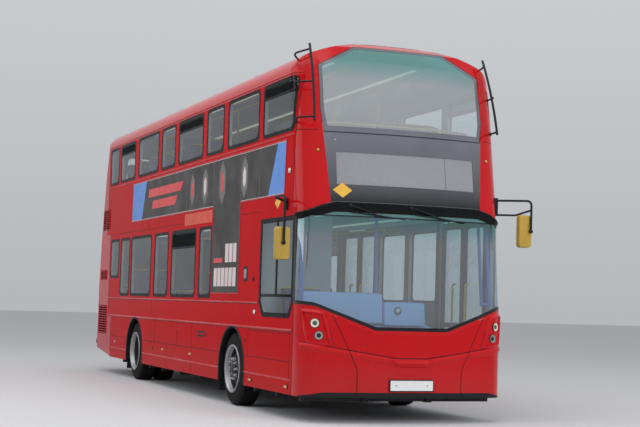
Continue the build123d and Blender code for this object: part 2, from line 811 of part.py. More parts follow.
def barrel(x, low, high):
    # the ring that carries one tyre, with a flange outside each of its beads; it is hollow from low to high
    half = TYRE_WIDTH / 2
    ring = wheel_prism(RIM_RADIUS, x - half, x + half)
    for side in (-1, 1):
        ring += wheel_prism(FLANGE_RADIUS, x + side * half, x + side * (half + FLANGE_THICK))
    return ring - wheel_prism(BARREL_RADIUS, low, high)


def front_rim():
    # dished, as the left wheel stands: the hub stands out towards the face of the wheel
    reach = TYRE_WIDTH
    dish = wheel_prism(BARREL_RADIUS, -DISH_WALL, 0) + wheel_cone(BARREL_RADIUS, DISH_RADIUS, 0, DISH_DEPTH)
    dish -= wheel_cone(BARREL_RADIUS - DISH_WALL, DISH_RADIUS - DISH_WALL, -DISH_WALL, DISH_DEPTH)
    hub = rod_x(-20, HUB_STAND, 0, 0, HUB_RADIUS)
    return barrel(0, -reach, reach) + dish + hub - rod_x(-reach, reach, 0, 0, HUB_BORE)


def rear_rims():
    # as the left pair stands: two barrels meet in one web, far in from the face of the wheel
    reach = TYRE_WIDTH
    web_x = -TWIN_PITCH / 2
    rims = barrel(0, web_x + WEB_HALF, reach) + barrel(-TWIN_PITCH, -TWIN_PITCH - reach, web_x - WEB_HALF)
    web = wheel_prism(BARREL_RADIUS, web_x - WEB_HALF, web_x + WEB_HALF)
    spacer = wheel_prism(RIM_RADIUS, web_x - TWIN_GAP / 2 + FLANGE_THICK, web_x + TWIN_GAP / 2 - FLANGE_THICK)
    spacer -= wheel_prism(BARREL_RADIUS, web_x - TWIN_GAP, web_x + TWIN_GAP)
    hub = rod_x(web_x - 60, 40, 0, 0, 110)
    return rims + web + spacer + hub - rod_x(-TWIN_PITCH - reach, reach, 0, 0, HUB_BORE)


def wheels():
    placed = {}
    front = Pos(WHEEL_X, FRONT_AXLE_Y, HUB_Z)
    rear = Pos(WHEEL_X, REAR_AXLE_Y, HUB_Z)
    one_tyre = tyre()
    twins = group([rear * one_tyre, rear * Pos(-TWIN_PITCH, 0, 0) * one_tyre])
    pieces = {"front_tyre": front * one_tyre, "front_rim": front * front_rim()}
    pieces.update({"rear_tyres": twins, "rear_rims": rear * rear_rims()})
    for name, piece in pieces.items():
        placed[name + "_left"] = piece
        placed[name + "_right"] = mirrored(piece)
    return placed


EYE_HALF = 75
LUG_THICK = 50


def knuckle(side):
    y = FRONT_AXLE_Y
    gap = 1
    low = HUB_Z - EYE_HALF - gap
    high = HUB_Z + EYE_HALF + gap
    x = side * KINGPIN_X
    pin = rod_z(x, y, low - 5, high + 5, KINGPIN_RADIUS)
    web_x0, web_x1 = side * 1000, side * 1030
    body = block(web_x0, web_x1, y - 60, y + 60, low - LUG_THICK, high + LUG_THICK)
    for z0, z1 in ((low - LUG_THICK, low), (high, high + LUG_THICK)):
        body += block(side * (KINGPIN_X - 45), web_x1, y - 45, y + 45, z0, z1)
    body += pin
    body += rod_x(side * 1020, side * (WHEEL_X + 90), y, HUB_Z, HUB_SHAFT_RADIUS)
    return body


# half of the drop beam's outline, from the eye down along its underside and back along its top: x and z
BEAM_HALF = (
    (KINGPIN_X, 500),
    (KINGPIN_X, 415),
    (780, 355),
    (560, 135),
)
BEAM_TOP_HALF = (
    (520, 205),
    (800, 470),
)
BEAM_HALF_DEPTH = 50
BEAM_EYE_RADIUS = 56


def front_axle():
    under = list(BEAM_HALF) + [(-x, z) for x, z in reversed(BEAM_HALF)]
    over = [(-x, z) for x, z in reversed(BEAM_TOP_HALF)] + list(BEAM_TOP_HALF)
    beam = front_prism(under + over, FRONT_AXLE_Y - BEAM_HALF_DEPTH, FRONT_AXLE_Y + BEAM_HALF_DEPTH)
    for side in (-1, 1):
        x = side * KINGPIN_X
        beam += bar_z(x, FRONT_AXLE_Y, HUB_Z - EYE_HALF, HUB_Z + EYE_HALF, BEAM_EYE_RADIUS)
        beam -= rod_z(x, FRONT_AXLE_Y, HUB_Z - 200, HUB_Z + 200, KINGPIN_RADIUS + RUNNING_CLEARANCE)
    return beam


CARRIER_X = 410
CARRIER_REACH = 320
CARRIER_Z = 400


def rear_axle():
    casing = bar_x(-600, 600, REAR_AXLE_Y, HUB_Z, 75)
    for side in (-1, 1):
        reach = CARRIER_REACH + 80
        x = side * CARRIER_X
        casing += block(x - 45, x + 45, REAR_AXLE_Y - reach, REAR_AXLE_Y + reach, CARRIER_Z - 30, CARRIER_Z)
    casing += bar_x(-160, 160, REAR_AXLE_Y, HUB_Z, 150)
    casing += rod_x(-(WHEEL_X + 30), WHEEL_X + 30, REAR_AXLE_Y, HUB_Z, HUB_SHAFT_RADIUS)
    return casing


def air_springs():
    springs = []
    for side in (-1, 1):
        springs.append(bar_z(side * 250, FRONT_AXLE_Y, 205, FLOOR_Z - FLOOR_THICK, 85))
        for offset in (-CARRIER_REACH, CARRIER_REACH):
            top = REAR_FLOOR_Z - FLOOR_THICK
            springs.append(bar_z(side * CARRIER_X, REAR_AXLE_Y + offset, CARRIER_Z, top, 95))
    return springs


RAIL_X = 400
RAIL_HALF = 35
RAIL_LOW_Z = 215
RAIL_FRONT = -2330
TAIL_RAIL_Z = (430, 500)
TAIL_RAIL_END = 7980
# where the rails begin and end their rise to the tail, underside and top
RAIL_RISE_LOW = (6600, 6950)
RAIL_RISE_HIGH = (6300, 6650)
CROSS_MEMBERS = (-2280, -1500, -700, 700, 1700, 2700, 3700, 4500, 5900, 6300)
CROSS_MEMBER_HALF = 30
CROSS_MEMBER_LOW_Z = 225
TAIL_MEMBER = (7900, 7960)
TOW_X = 620
TOW_Z = 252
TOW_RADIUS = 16


def chassis_frame():
    top = FLOOR_Z - FLOOR_THICK
    tail_low, tail_high = TAIL_RAIL_Z
    outline = [
        (RAIL_FRONT, RAIL_LOW_Z), (RAIL_RISE_LOW[0], RAIL_LOW_Z), (RAIL_RISE_LOW[1], tail_low), (TAIL_RAIL_END, tail_low),
        (TAIL_RAIL_END, tail_high), (RAIL_RISE_HIGH[1], tail_high), (RAIL_RISE_HIGH[0], top), (RAIL_FRONT, top),
    ]
    profile = [(aft(distance), z) for distance, z in outline]
    frame = side_prism(profile, -RAIL_X - RAIL_HALF, -RAIL_X + RAIL_HALF)
    frame += side_prism(profile, RAIL_X - RAIL_HALF, RAIL_X + RAIL_HALF)
    reach = INSIDE_X - 40
    for distance in CROSS_MEMBERS:
        y = aft(distance)
        frame += block(-reach, reach, y - CROSS_MEMBER_HALF, y + CROSS_MEMBER_HALF, CROSS_MEMBER_LOW_Z, top)
    frame += block(-RAIL_X, RAIL_X, aft(TAIL_MEMBER[0]), aft(TAIL_MEMBER[1]), *TAIL_RAIL_Z)
    frame -= rod_y(TOW_X, aft(-2400), aft(-2200), TOW_Z, TOW_RADIUS)
    return frame


def engine_block():
    return block(-340, 340, aft(6700), aft(7850), 505, 1080)


# Cab and saloon
# distance behind the front axle, and height: up the front, over the desk and down its driver's side
DESK = (
    (-2330, FLOOR_Z),
    (-2330, 1060),
    (-2080, 1130),
    (-1900, 1040),
    (-1900, 960),
    (-2060, 900),
    (-2060, FLOOR_Z),
)
DESK_END_X = 420


def dashboard():
    unit = side_prism([(aft(distance), z) for distance, z in DESK], -INSIDE_X + 5, DESK_END_X)
    return (unit & INSIDE) - steering_column(COLUMN_RADIUS)


DRIVER_X = -760
STEERING_PLACE = (DRIVER_X, -1760, 1150)
STEERING_TILT = -35
COLUMN_LENGTH = 560
COLUMN_RADIUS = 28


STEERING_RADIUS = 235
STEERING_RIM = 30
STEERING_SIDES = 24


def steering_frame():
    x, distance, z = STEERING_PLACE
    return Pos(x, aft(distance), z) * Rot(STEERING_TILT, 0, 0)


def steering_column(radius):
    return steering_frame() * Pos(0, 0, -COLUMN_LENGTH / 2) * Cylinder(radius, COLUMN_LENGTH)


def steering_wheel():
    outer = extrude(RegularPolygon(STEERING_RADIUS, STEERING_SIDES), amount=STEERING_RIM / 2, both=True)
    inner = extrude(RegularPolygon(STEERING_RADIUS - STEERING_RIM, STEERING_SIDES), amount=STEERING_RIM, both=True)
    spokes = Box(2 * STEERING_RADIUS - STEERING_RIM, 34, 14) + Cylinder(45, 40)
    return steering_frame() * (outer - inner + spokes) + steering_column(COLUMN_RADIUS)


SEAT_WIDTH = 860
SEAT_X = 700
# the sitter faces the nose: distance behind the seat's place, and height above the floor
SEAT_PROFILE = (
    (60, 0),
    (300, 0),
    (330, 380),
    (400, 480),
    (500, 1080),
    (430, 1090),
    (350, 520),
    (-60, 490),
    (-80, 420),
    (20, 370),
)


def seat_pair(x, y, floor, width=SEAT_WIDTH):
    profile = [(y + back, floor + up) for back, up in SEAT_PROFILE]
    return side_prism(profile, x - width / 2, x + width / 2)


UPPER_ROWS = 11
UPPER_FIRST_ROW = -1350
UPPER_PITCH = 760


def seats_upper():
    seats = []
    for row in range(UPPER_ROWS):
        distance = UPPER_FIRST_ROW + row * UPPER_PITCH
        for side in (-1, 1):
            if side < 0 and STAIR_FRONT - 500 < distance < STAIR_REAR + 150:
                continue
            seats.append(seat_pair(side * SEAT_X, aft(distance), UPPER_FLOOR_Z))
    return seats


# distance behind the front axle, floor height, right side, left side
LOWER_ROWS = (
    (1350, FLOOR_Z, 1, 0),
    (2130, FLOOR_Z, 1, 0),
    (2910, FLOOR_Z, 1, 1),
    (5950, REAR_FLOOR_Z, 1, 1),
)


def seats_lower():
    seats = []
    for distance, floor, right, left in LOWER_ROWS:
        if right:
            seats.append(seat_pair(-SEAT_X, aft(distance), floor))
        if left:
            seats.append(seat_pair(SEAT_X, aft(distance), floor))
    driver = seat_pair(DRIVER_X, aft(-1560), FLOOR_Z + 60, 480)
    seats.append(driver + block(DRIVER_X - 200, DRIVER_X + 200, aft(-1500), aft(-1260), FLOOR_Z, FLOOR_Z + 65))
    return seats


POLE_RADIUS = 17
# x, distance behind the front axle, lower end, upper end
POLES = (
    (-330, -500, FLOOR_Z, UPPER_FLOOR_Z - UPPER_FLOOR_THICK),
    (330, 700, FLOOR_Z, UPPER_FLOOR_Z - UPPER_FLOOR_THICK),
    (330, 2700, FLOOR_Z, UPPER_FLOOR_Z - UPPER_FLOOR_THICK),
    (-220, 2700, FLOOR_Z, UPPER_FLOOR_Z - UPPER_FLOOR_THICK),
    (-220, 3950, FLOOR_Z, UPPER_FLOOR_Z - UPPER_FLOOR_THICK),
    (220, 5850, REAR_FLOOR_Z, UPPER_FLOOR_Z - UPPER_FLOOR_THICK),
)


def grab_poles():
    return [bar_z(x, aft(y), z0, z1, POLE_RADIUS) for x, y, z0, z1 in POLES]


def cab_partition():
    wall = block(-INSIDE_X, -330, aft(-1000), aft(-970), FLOOR_Z, UPPER_FLOOR_Z - UPPER_FLOOR_THICK)
    gate = block(-350, -320, aft(-1900), aft(-970), FLOOR_Z, 1350)
    return wall + gate


# Outside fittings
MIRROR_REACH = 1600
MIRROR_WIDTH = 180
MIRROR_DEPTH = 70
MIRROR_Y = -2500
MIRROR_CORNER = 35
MIRROR_TUBE_RADIUS = 14
# side, lower and upper edge of the head
MIRROR_HEADS = ((-1, 1780, 2150), (1, 2035, 2425))


def mirror_heads():
    heads = []
    for side, z0, z1 in MIRROR_HEADS:
        face = Plane.XZ * rounded_face(MIRROR_WIDTH, z1 - z0, MIRROR_CORNER)
        head = extrude(face, amount=MIRROR_DEPTH / 2, both=True)
        heads.append(Pos(side * (MIRROR_REACH - MIRROR_WIDTH / 2), aft(MIRROR_Y), (z0 + z1) / 2) * head)
    return heads


def mirror_arms():
    x = MIRROR_REACH - MIRROR_WIDTH / 2
    y = aft(MIRROR_Y) + MIRROR_DEPTH / 2 + MIRROR_TUBE_RADIUS
    right_foot = (-HALF_WIDTH + 10, aft(-1940), 2460)
    right = tube_path([right_foot, (-x, aft(-2200), 2490), (-x, y, 2490), (-x, y, 1980)], MIRROR_TUBE_RADIUS, 60)
    left_foot = (HALF_WIDTH - 30, aft(-2300), 2590)
    left = tube_path([left_foot, (x, y, 2590), (x, y, 2230)], MIRROR_TUBE_RADIUS, 60)
    brace = tube_path([(HALF_WIDTH - 30, aft(-2300), 2450), (x, y, 2450)], MIRROR_TUBE_RADIUS - 2)
    return [right - OUTSIDE, (left + brace) - OUTSIDE]


GUARD_LOW = (1154, -2443, 3355)
GUARD_HIGH = (1112, -2110, 4282)
GUARD_BOW = 40
GUARD_RADIUS = 14
GUARD_ARM_RADIUS = 11
GUARD_STEPS = 4
# share of the height, elbow and end of each arm: x, distance behind the front axle, drop below its start
GUARD_ARMS = (
    (0.05, (1330, -2330, 10), (1235, -2050, 40)),
    (0.50, (1320, -2200, 10), (1235, -2060, 40)),
    (0.93, (1290, -2060, 60), (1150, -1960, 150)),
)


def guard_point(share):
    bow = GUARD_BOW * 4 * share * (1 - share)
    x, y, z = (a + (b - a) * share for a, b in zip(GUARD_LOW, GUARD_HIGH))
    return (x, aft(y) - bow, z)


def tree_guards():
    upright = [guard_point(step / GUARD_STEPS) for step in range(GUARD_STEPS + 1)]
    guard = tube_path(upright, GUARD_RADIUS)
    for share, elbow, end in GUARD_ARMS:
        start = guard_point(share)
        points = [start] + [(x, aft(y), start[2] - drop) for x, y, drop in (elbow, end)]
        guard += tube_path(points, GUARD_ARM_RADIUS, 40)
    guard -= OUTSIDE
    return both_sides(guard)


WIPER_STAND_OFF = 26
WIPER_BAR = 7
# pivot, outer end and inner end of the blade: x and z
WIPERS = (
    ((-700, 2430), (-700, 2365), (-130, 2315)),
    ((0, 2430), (80, 2365), (650, 2315)),
)


def wiper_point(place):
    x, z = place
    return (x, nose_y(x, z) - WIPER_STAND_OFF, z)


def wipers():
    blades = []
    for pivot, outer, inner in WIPERS:
        middle = ((outer[0] + inner[0]) / 2, (outer[1] + inner[1]) / 2)
        x, z = pivot
        y = nose_y(x, z)
        wiper = bar_y(x, y - WIPER_STAND_OFF - 12, y + 40, z, 22)
        wiper += tube_path([wiper_point(pivot), wiper_point(middle)], WIPER_BAR)
        wiper += tube_path([wiper_point(outer), wiper_point(middle), wiper_point(inner)], WIPER_BAR)
        blades.append(wiper - OUTSIDE)
    return blades


NODES = {
    "side_lower_right": side_lower_right,
    "side_lower_left": side_lower_left,
    "side_upper_right": lambda: side_upper(-1),
    "side_upper_left": lambda: side_upper(1),
    "skirt_panels": skirt_panels,
    "roof": roof,
    "front_dome": front_dome,
    "front_corners": front_corners,
    "windscreen_upper": windscreen_upper,
    "destination_panel": destination_panel,
    "windscreen_header": windscreen_header,
    "windscreen_lower": windscreen_lower,
    "headlamps": lambda: group(headlamps()),
    "rear_lower": rear_lower,
    "rear_upper": rear_upper,
    "rear_window": rear_window,
    "tail_lamps": lambda: group(tail_lamps()),
    "engine_lid": engine_lid,
    "side_windows_lower": side_windows_lower,
    "side_windows_upper": side_windows_upper,
    "wheel_boxes": lambda: group(wheel_boxes()),
    "lower_floor": lambda: group(lower_floor()),
    "upper_floor": upper_floor,
    "staircase": staircase,
    "chassis_frame": chassis_frame,
    "engine_block": engine_block,
    "front_axle": front_axle,
    "rear_axle": rear_axle,
    "air_springs": lambda: group(air_springs()),
    "knuckle_right": lambda: knuckle(-1),
    "knuckle_left": lambda: knuckle(1),
    "dashboard": dashboard,
    "steering_wheel": steering_wheel,
    "cab_partition": cab_partition,
    "seats_lower": lambda: group(seats_lower()),
    "seats_upper": lambda: group(seats_upper()),
    "grab_poles": lambda: group(grab_poles()),
    "mirror_heads": lambda: group(mirror_heads()),
    "mirror_arms": lambda: group(mirror_arms()),
    "tree_guards": lambda: group(tree_guards()),
    "wipers": lambda: group(wipers()),
}


def build():
    os.makedirs("parts", exist_ok=True)
    parts = {name: make() for name, make in NODES.items()}
    parts["front_panel"], parts["bumper"], parts["nose_corners"] = nose_panels()
    parts.update(wheels())
    names = ("front_door_front", "front_door_rear", "centre_door_front", "centre_door_rear")
    for name, post in zip(names, door_posts()):
        parts[name + "_arm"] = door_arm(*post)
        parts[name + "_leaf"] = door_leaf(*post)
    for name, part in parts.items():
        export_step(group([part]), f"parts/{name}.step")


build()
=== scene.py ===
# Looks of the double decker bus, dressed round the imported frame
import math

import bmesh
import bpy
from mathutils import Matrix, Vector
from mathutils.bvhtree import BVHTree


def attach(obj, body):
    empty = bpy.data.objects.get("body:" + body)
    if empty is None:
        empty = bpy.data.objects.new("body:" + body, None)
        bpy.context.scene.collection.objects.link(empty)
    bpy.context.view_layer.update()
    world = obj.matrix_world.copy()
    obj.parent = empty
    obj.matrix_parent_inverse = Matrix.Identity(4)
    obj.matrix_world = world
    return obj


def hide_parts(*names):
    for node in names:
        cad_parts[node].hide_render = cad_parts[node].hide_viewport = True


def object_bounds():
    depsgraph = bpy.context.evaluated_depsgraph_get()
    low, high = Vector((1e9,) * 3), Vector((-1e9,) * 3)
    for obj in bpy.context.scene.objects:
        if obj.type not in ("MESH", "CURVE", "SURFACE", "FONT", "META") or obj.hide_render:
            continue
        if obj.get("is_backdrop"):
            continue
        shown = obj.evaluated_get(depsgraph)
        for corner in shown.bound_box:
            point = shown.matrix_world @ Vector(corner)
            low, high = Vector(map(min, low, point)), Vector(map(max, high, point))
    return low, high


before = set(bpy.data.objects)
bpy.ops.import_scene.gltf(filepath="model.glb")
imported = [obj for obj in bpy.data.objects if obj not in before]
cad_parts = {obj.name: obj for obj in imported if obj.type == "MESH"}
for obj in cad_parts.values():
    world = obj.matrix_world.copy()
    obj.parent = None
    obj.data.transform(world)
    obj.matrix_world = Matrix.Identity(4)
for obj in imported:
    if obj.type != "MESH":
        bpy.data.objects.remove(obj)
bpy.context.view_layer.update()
scene = bpy.context.scene

# Sizes shared with the frame, in metres
NOSE_Y = -5.475
TAIL_Y = 5.475
FRONT_AXLE_Y = NOSE_Y + 2.7
REAR_AXLE_Y = FRONT_AXLE_Y + 5.2
HALF_WIDTH = 1.26
NOSE_BOW_RADIUS = 4.7
TAIL_BOW_RADIUS = 8.0
NOSE_CORNER = 0.28
TAIL_CORNER = 0.15
HUB_Z = 0.46
WHEEL_X = 1.0945
TYRE_WIDTH = 0.275
TWIN_PITCH = 0.315
MERGE_DISTANCE = 0.00005
ROOT = "bus_body"
# height, how far the nose stands back, how far the tail stands forward
OUTLINE_LEVELS = (
    (0.286, 0, 0),
    (1.18, 0, 0),
    (1.56, 0.045, 0),
    (2.4, 0.13, 0.09),
    (3.5, 0.315, 0.3),
    (4.04, 0.44, 0.46),
    (4.29, 0.57, 0.7),
    (4.35, 0.69, 0.86),
    (4.4, 0.9, 1.15),
)
UPPER_WINDOWS = (
    (-2.07, -1.0, 1),
    (-0.835, 0.43, 0),
    (0.63, 1.4, 0),
    (1.6, 2.86, 1),
    (3.06, 3.84, 0),
    (4.05, 5.32, 0),
    (5.57, 6.59, 1),
    (6.75, 7.38, 0),
)
UPPER_WINDOW_Z = (3.29, 3.905)
LOWER_WINDOWS_RIGHT = (
    (1.03, 1.6, 1.36, 0),
    (1.79, 3.06, 1.36, 1),
    (3.27, 4.07, 1.36, 0),
    (4.3, 5.6, 1.36, 0),
    (5.74, 6.36, 1.36, 0),
    (6.52, 7.13, 1.66, 0),
)
LOWER_WINDOWS_LEFT = (
    (-0.76, 0.05, 1.36, 0),
    (0.2, 1.03, 1.36, 0),
    (2.64, 3.74, 1.36, 1),
    (3.9, 5.0, 1.36, 0),
    (5.16, 6.36, 1.36, 0),
    (6.52, 7.13, 1.66, 0),
)
LOWER_WINDOW_TOP = 2.3
FRONT_DOOR = (-2.09, -0.89)
CENTRE_DOOR = (1.18, 2.48)


def aft(distance):
    return FRONT_AXLE_Y + distance


def between(a, b, share):
    return a + (b - a) * share


# Materials
def start_material(name, colour, roughness, metallic=0.0):
    material = bpy.data.materials.new(name)
    material.use_nodes = True
    material.diffuse_color = (*colour, 1)
    tree = material.node_tree
    shader = tree.nodes["Principled BSDF"]
    shader.inputs["Base Color"].default_value = (*colour, 1)
    shader.inputs["Roughness"].default_value = roughness
    shader.inputs["Metallic"].default_value = metallic
    return material, tree, shader


def add(tree, kind, **values):
    node = tree.nodes.new(kind)
    for key, value in values.items():
        if key in node.inputs:
            node.inputs[key].default_value = value
        else:
            setattr(node, key, value)
    return node


def place(tree, scale=(1, 1, 1)):
    spot = add(tree, "ShaderNodeTexCoord")
    mapping = add(tree, "ShaderNodeMapping")
    mapping.inputs["Scale"].default_value = scale
    tree.links.new(spot.outputs["Object"], mapping.inputs["Vector"])
    return mapping.outputs["Vector"]


def noise_of(tree, scale, detail=3.0, stretch=(1, 1, 1)):
    noise = add(tree, "ShaderNodeTexNoise", Scale=scale, Detail=detail)
    tree.links.new(place(tree, stretch), noise.inputs["Vector"])
    return noise.outputs["Fac"]


def ranged(tree, value, low, high, to_low, to_high):
    node = add(tree, "ShaderNodeMapRange")
    node.inputs["From Min"].default_value = low
    node.inputs["From Max"].default_value = high
    node.inputs["To Min"].default_value = to_low
    node.inputs["To Max"].default_value = to_high
    tree.links.new(value, node.inputs["Value"])
    return node.outputs["Result"]


def mixed(tree, share, first, second):
    node = add(tree, "ShaderNodeMix", data_type="RGBA")
    tree.links.new(share, node.inputs["Factor"])
    for key, value in (("A", first), ("B", second)):
        place_in = [s for s in node.inputs if s.name == key and s.type == "RGBA"][0]
        if isinstance(value, tuple):
            place_in.default_value = (*value, 1)
        else:
            tree.links.new(value, place_in)
    return [s for s in node.outputs if s.type == "RGBA"][0]


def calc(tree, operation, first, second):
    node = add(tree, "ShaderNodeMath", operation=operation)
    for index, value in enumerate((first, second)):
        if isinstance(value, (int, float)):
            node.inputs[index].default_value = value
        else:
            tree.links.new(value, node.inputs[index])
    return node.outputs[0]


def bump(tree, shader, height, strength, distance):
    node = add(tree, "ShaderNodeBump", Strength=strength, Distance=distance)
    tree.links.new(height, node.inputs["Height"])
    tree.links.new(node.outputs["Normal"], shader.inputs["Normal"])


def height_of(tree):
    spot = add(tree, "ShaderNodeTexCoord")
    split = add(tree, "ShaderNodeSeparateXYZ")
    tree.links.new(spot.outputs["Object"], split.inputs["Vector"])
    return split.outputs["Z"]


def plain(name, colour, roughness, metallic=0.0, vary=0.12, scale=6.0, grain=0.0, grain_scale=260.0, **extra):
    """A worn everyday finish: uneven tone, uneven gloss and a fine surface grain."""
    material, tree, shader = start_material(name, colour, roughness, metallic)
    tone = noise_of(tree, scale, 4.0)
    dark = tuple(c * (1 - vary) for c in colour)
    light = tuple(min(1.0, c * (1 + vary)) for c in colour)
    tree.links.new(mixed(tree, tone, dark, light), shader.inputs["Base Color"])
    gloss = noise_of(tree, scale * 7, 5.0)
    spread = min(0.12, roughness * 0.45)
    tree.links.new(ranged(tree, gloss, 0.3, 0.7, roughness - spread, roughness + spread),
                   shader.inputs["Roughness"])
    if grain:
        bump(tree, shader, noise_of(tree, grain_scale, 3.0), 0.5, grain)
    for key, value in extra.items():
        shader.inputs[key.replace("_", " ")].default_value = value
    return material


def body_paint(name, colour, lining, sides=False):
    """Glossy coach paint outside, with road film low down, and trim on the faces that look inward."""
    material, tree, shader = start_material(name, colour, 0.3)
    tone = noise_of(tree, 1.1, 3.0, (1, 0.35, 1))
    shade = mixed(tree, tone, tuple(c * 0.9 for c in colour), tuple(c * 1.08 for c in colour))
    film = ranged(tree, height_of(tree), 0.3, 0.8, 0.20, 0.0)
    patchy = calc(tree, "MULTIPLY", film, ranged(tree, noise_of(tree, 3.2, 6.0, (1, 0.5, 1.6)), 0.3, 0.75,
                                                 0.25, 1.0))
    shade = mixed(tree, patchy, shade, (0.19, 0.085, 0.075))
    streaks = ranged(tree, noise_of(tree, 9.0, 4.0, (1, 1, 0.06)), 0.55, 0.8, 0.0, 0.06)
    shade = mixed(tree, streaks, shade, (0.25, 0.06, 0.055))
    geometry = add(tree, "ShaderNodeNewGeometry")
    spot = add(tree, "ShaderNodeTexCoord")
    offset = add(tree, "ShaderNodeVectorMath", operation="MULTIPLY_ADD")
    offset.inputs[1].default_value = (1, 0, 0) if sides else (1, 0.3, 1)
    offset.inputs[2].default_value = (0, 0, 0) if sides else (0, 0, -2.3)
    tree.links.new(spot.outputs["Object"], offset.inputs[0])
    facing = add(tree, "ShaderNodeVectorMath", operation="DOT_PRODUCT")
    tree.links.new(geometry.outputs["Normal"], facing.inputs[0])
    tree.links.new(offset.outputs[0], facing.inputs[1])
    limit = 0.3 if sides else 0.0
    inward = ranged(tree, facing.outputs["Value"], limit - 0.02, limit + 0.02, 1.0, 0.0)
    tree.links.new(mixed(tree, inward, shade, lining), shader.inputs["Base Color"])
    clean = ranged(tree, noise_of(tree, 20, 5.0), 0.3, 0.7, 0.08, 0.16)
    tree.links.new(calc(tree, "MAXIMUM", calc(tree, "MULTIPLY", patchy, 1.6), clean),
                   shader.inputs["Roughness"])
    shader.inputs["Specular IOR Level"].default_value = 0.012 if sides else 0.22
    bump(tree, shader, noise_of(tree, 2.4, 2.0, (1, 1, 1)), 0.2, 0.003)
    return material


def glass(name, tint, shine, band=None):
    """A thin pane: it lets light through with a tint, mirrors more at a slant, and is unevenly clean.
    A band is the height where a sun tint starts, the height where it is full, its colour and its sheen."""
    material, tree, shader = start_material(name, tint, 0.02)
    tree.nodes.remove(shader)
    clear = add(tree, "ShaderNodeBsdfTransparent")
    tone = noise_of(tree, 1.3, 3.0)
    back = add(tree, "ShaderNodeNewGeometry").outputs["Backfacing"]
    shade = mixed(tree, tone, tuple(c * 0.93 for c in tint), tint)
    if band:
        shade = mixed(tree, ranged(tree, height_of(tree), band[0], band[1], 0.0, 1.0), shade, band[2])
    tree.links.new(mixed(tree, back, shade, (0.98, 0.98, 0.98)), clear.inputs["Color"])
    gloss = add(tree, "ShaderNodeBsdfGlossy")
    gloss.inputs["Color"].default_value = (0.95, 0.97, 1.0, 1)
    if band:
        shade = mixed(tree, ranged(tree, height_of(tree), band[0], band[1], 0.0, 1.0), (0.95, 0.97, 1.0),
                      band[3])
        tree.links.new(shade, gloss.inputs["Color"])
    tree.links.new(ranged(tree, noise_of(tree, 4.0, 6.0), 0.4, 0.8, 0.005, 0.02), gloss.inputs["Roughness"])
    slant = add(tree, "ShaderNodeFresnel", IOR=1.5)
    share = calc(tree, "MULTIPLY", calc(tree, "ADD", slant.outputs[0], shine),
                 calc(tree, "SUBTRACT", 1.0, back))
    blend = add(tree, "ShaderNodeMixShader")
    tree.links.new(share, blend.inputs[0])
    tree.links.new(clear.outputs[0], blend.inputs[1])
    tree.links.new(gloss.outputs[0], blend.inputs[2])
    tree.links.new(blend.outputs[0], tree.nodes["Material Output"].inputs["Surface"])
    return material


def weave(name, colour, second):
    """Moquette: a short pile with a small woven figure in a second colour."""
    material, tree, shader = start_material(name, colour, 0.85)
    cells = add(tree, "ShaderNodeTexVoronoi", Scale=26.0, feature="F1")
    tree.links.new(place(tree), cells.inputs["Vector"])
    figure = ranged(tree, cells.outputs["Distance"], 0.25, 0.4, 1.0, 0.0)
    shade = mixed(tree, figure, colour, second)
    worn = ranged(tree, noise_of(tree, 4.0, 4.0), 0.35, 0.75, 0.0, 0.35)
    shade = mixed(tree, worn, shade, tuple(c * 0.55 for c in colour))
    tree.links.new(shade, shader.inputs["Base Color"])
    shader.inputs["Sheen Weight"].default_value = 0.35
    bump(tree, shader, noise_of(tree, 420.0, 2.0), 0.6, 0.0015)
    return material


RED = (0.52, 0.006, 0.009)
DULL = {"Specular_IOR_Level": 0.2}
paint = body_paint("body_paint", RED, (0.42, 0.44, 0.45))
side_paint = body_paint("side_paint", RED, (0.42, 0.44, 0.45), sides=True)
skirt_paint = body_paint("skirt_paint", RED, (0.016, 0.016, 0.017), sides=True)
red_trim = plain("red_trim", RED, 0.3, vary=0.08, scale=0.4, Specular_IOR_Level=0.25)
black_gloss = plain("black_gloss", (0.0035, 0.0038, 0.0045), 0.22, vary=0.25, scale=3.0,
                    Specular_IOR_Level=0.14)
# A grey finish for the thin strip along the top edge of the windscreen ledge: a painted highlight
ledge_painted_highlight = plain("ledge_painted_highlight", (0.16, 0.16, 0.17), 0.3, vary=0.2, scale=3.0)
shade_band = plain("shade_band", (0.085, 0.185, 0.185), 0.12, vary=0.15, scale=3.0)
black_glass = plain("black_glass", (0.012, 0.013, 0.015), 0.08, vary=0.2, scale=2.0, Specular_IOR_Level=0.35)
frit_black = plain("frit_black", (0.006, 0.006, 0.007), 0.3, vary=0.25, scale=3.0, Specular_IOR_Level=0.05)
vent_black = plain("vent_black", (0.004, 0.004, 0.004), 0.9, vary=0.2, scale=8.0, Specular_IOR_Level=0.0)
seam_dark = plain("seam_dark", (0.055, 0.006, 0.007), 0.6, vary=0.2, scale=8.0, **DULL)
rubber = plain("rubber", (0.010, 0.010, 0.011), 0.62, vary=0.25, scale=14.0, grain=0.0008, **DULL)
plastic = plain("moulded_plastic", (0.014, 0.015, 0.017), 0.5, vary=0.2, scale=10.0, grain=0.0008,
                grain_scale=500, **DULL)
tyre_rubber = plain("tyre_rubber", (0.014, 0.013, 0.012), 0.8, vary=0.35, scale=7.0, grain=0.0012,
                    grain_scale=300,
                    Specular_IOR_Level=0.12)
steel = plain("wheel_steel", (0.38, 0.38, 0.39), 0.45, 0.6, vary=0.3, scale=9.0, grain=0.0005)
dark_steel = plain("dark_steel", (0.030, 0.030, 0.031), 0.6, 0.2, vary=0.4, scale=12.0, grain=0.001, **DULL)
bright_metal = plain("bright_metal", (0.62, 0.63, 0.65), 0.22, 0.9, vary=0.12, scale=20.0)
chassis_black = plain("chassis_black", (0.022, 0.021, 0.020), 0.75, vary=0.5, scale=5.0, grain=0.001)
cast_iron = plain("cast_iron", (0.045, 0.042, 0.04), 0.8, 0.2, vary=0.5, scale=9.0, grain=0.002,
                  grain_scale=140)
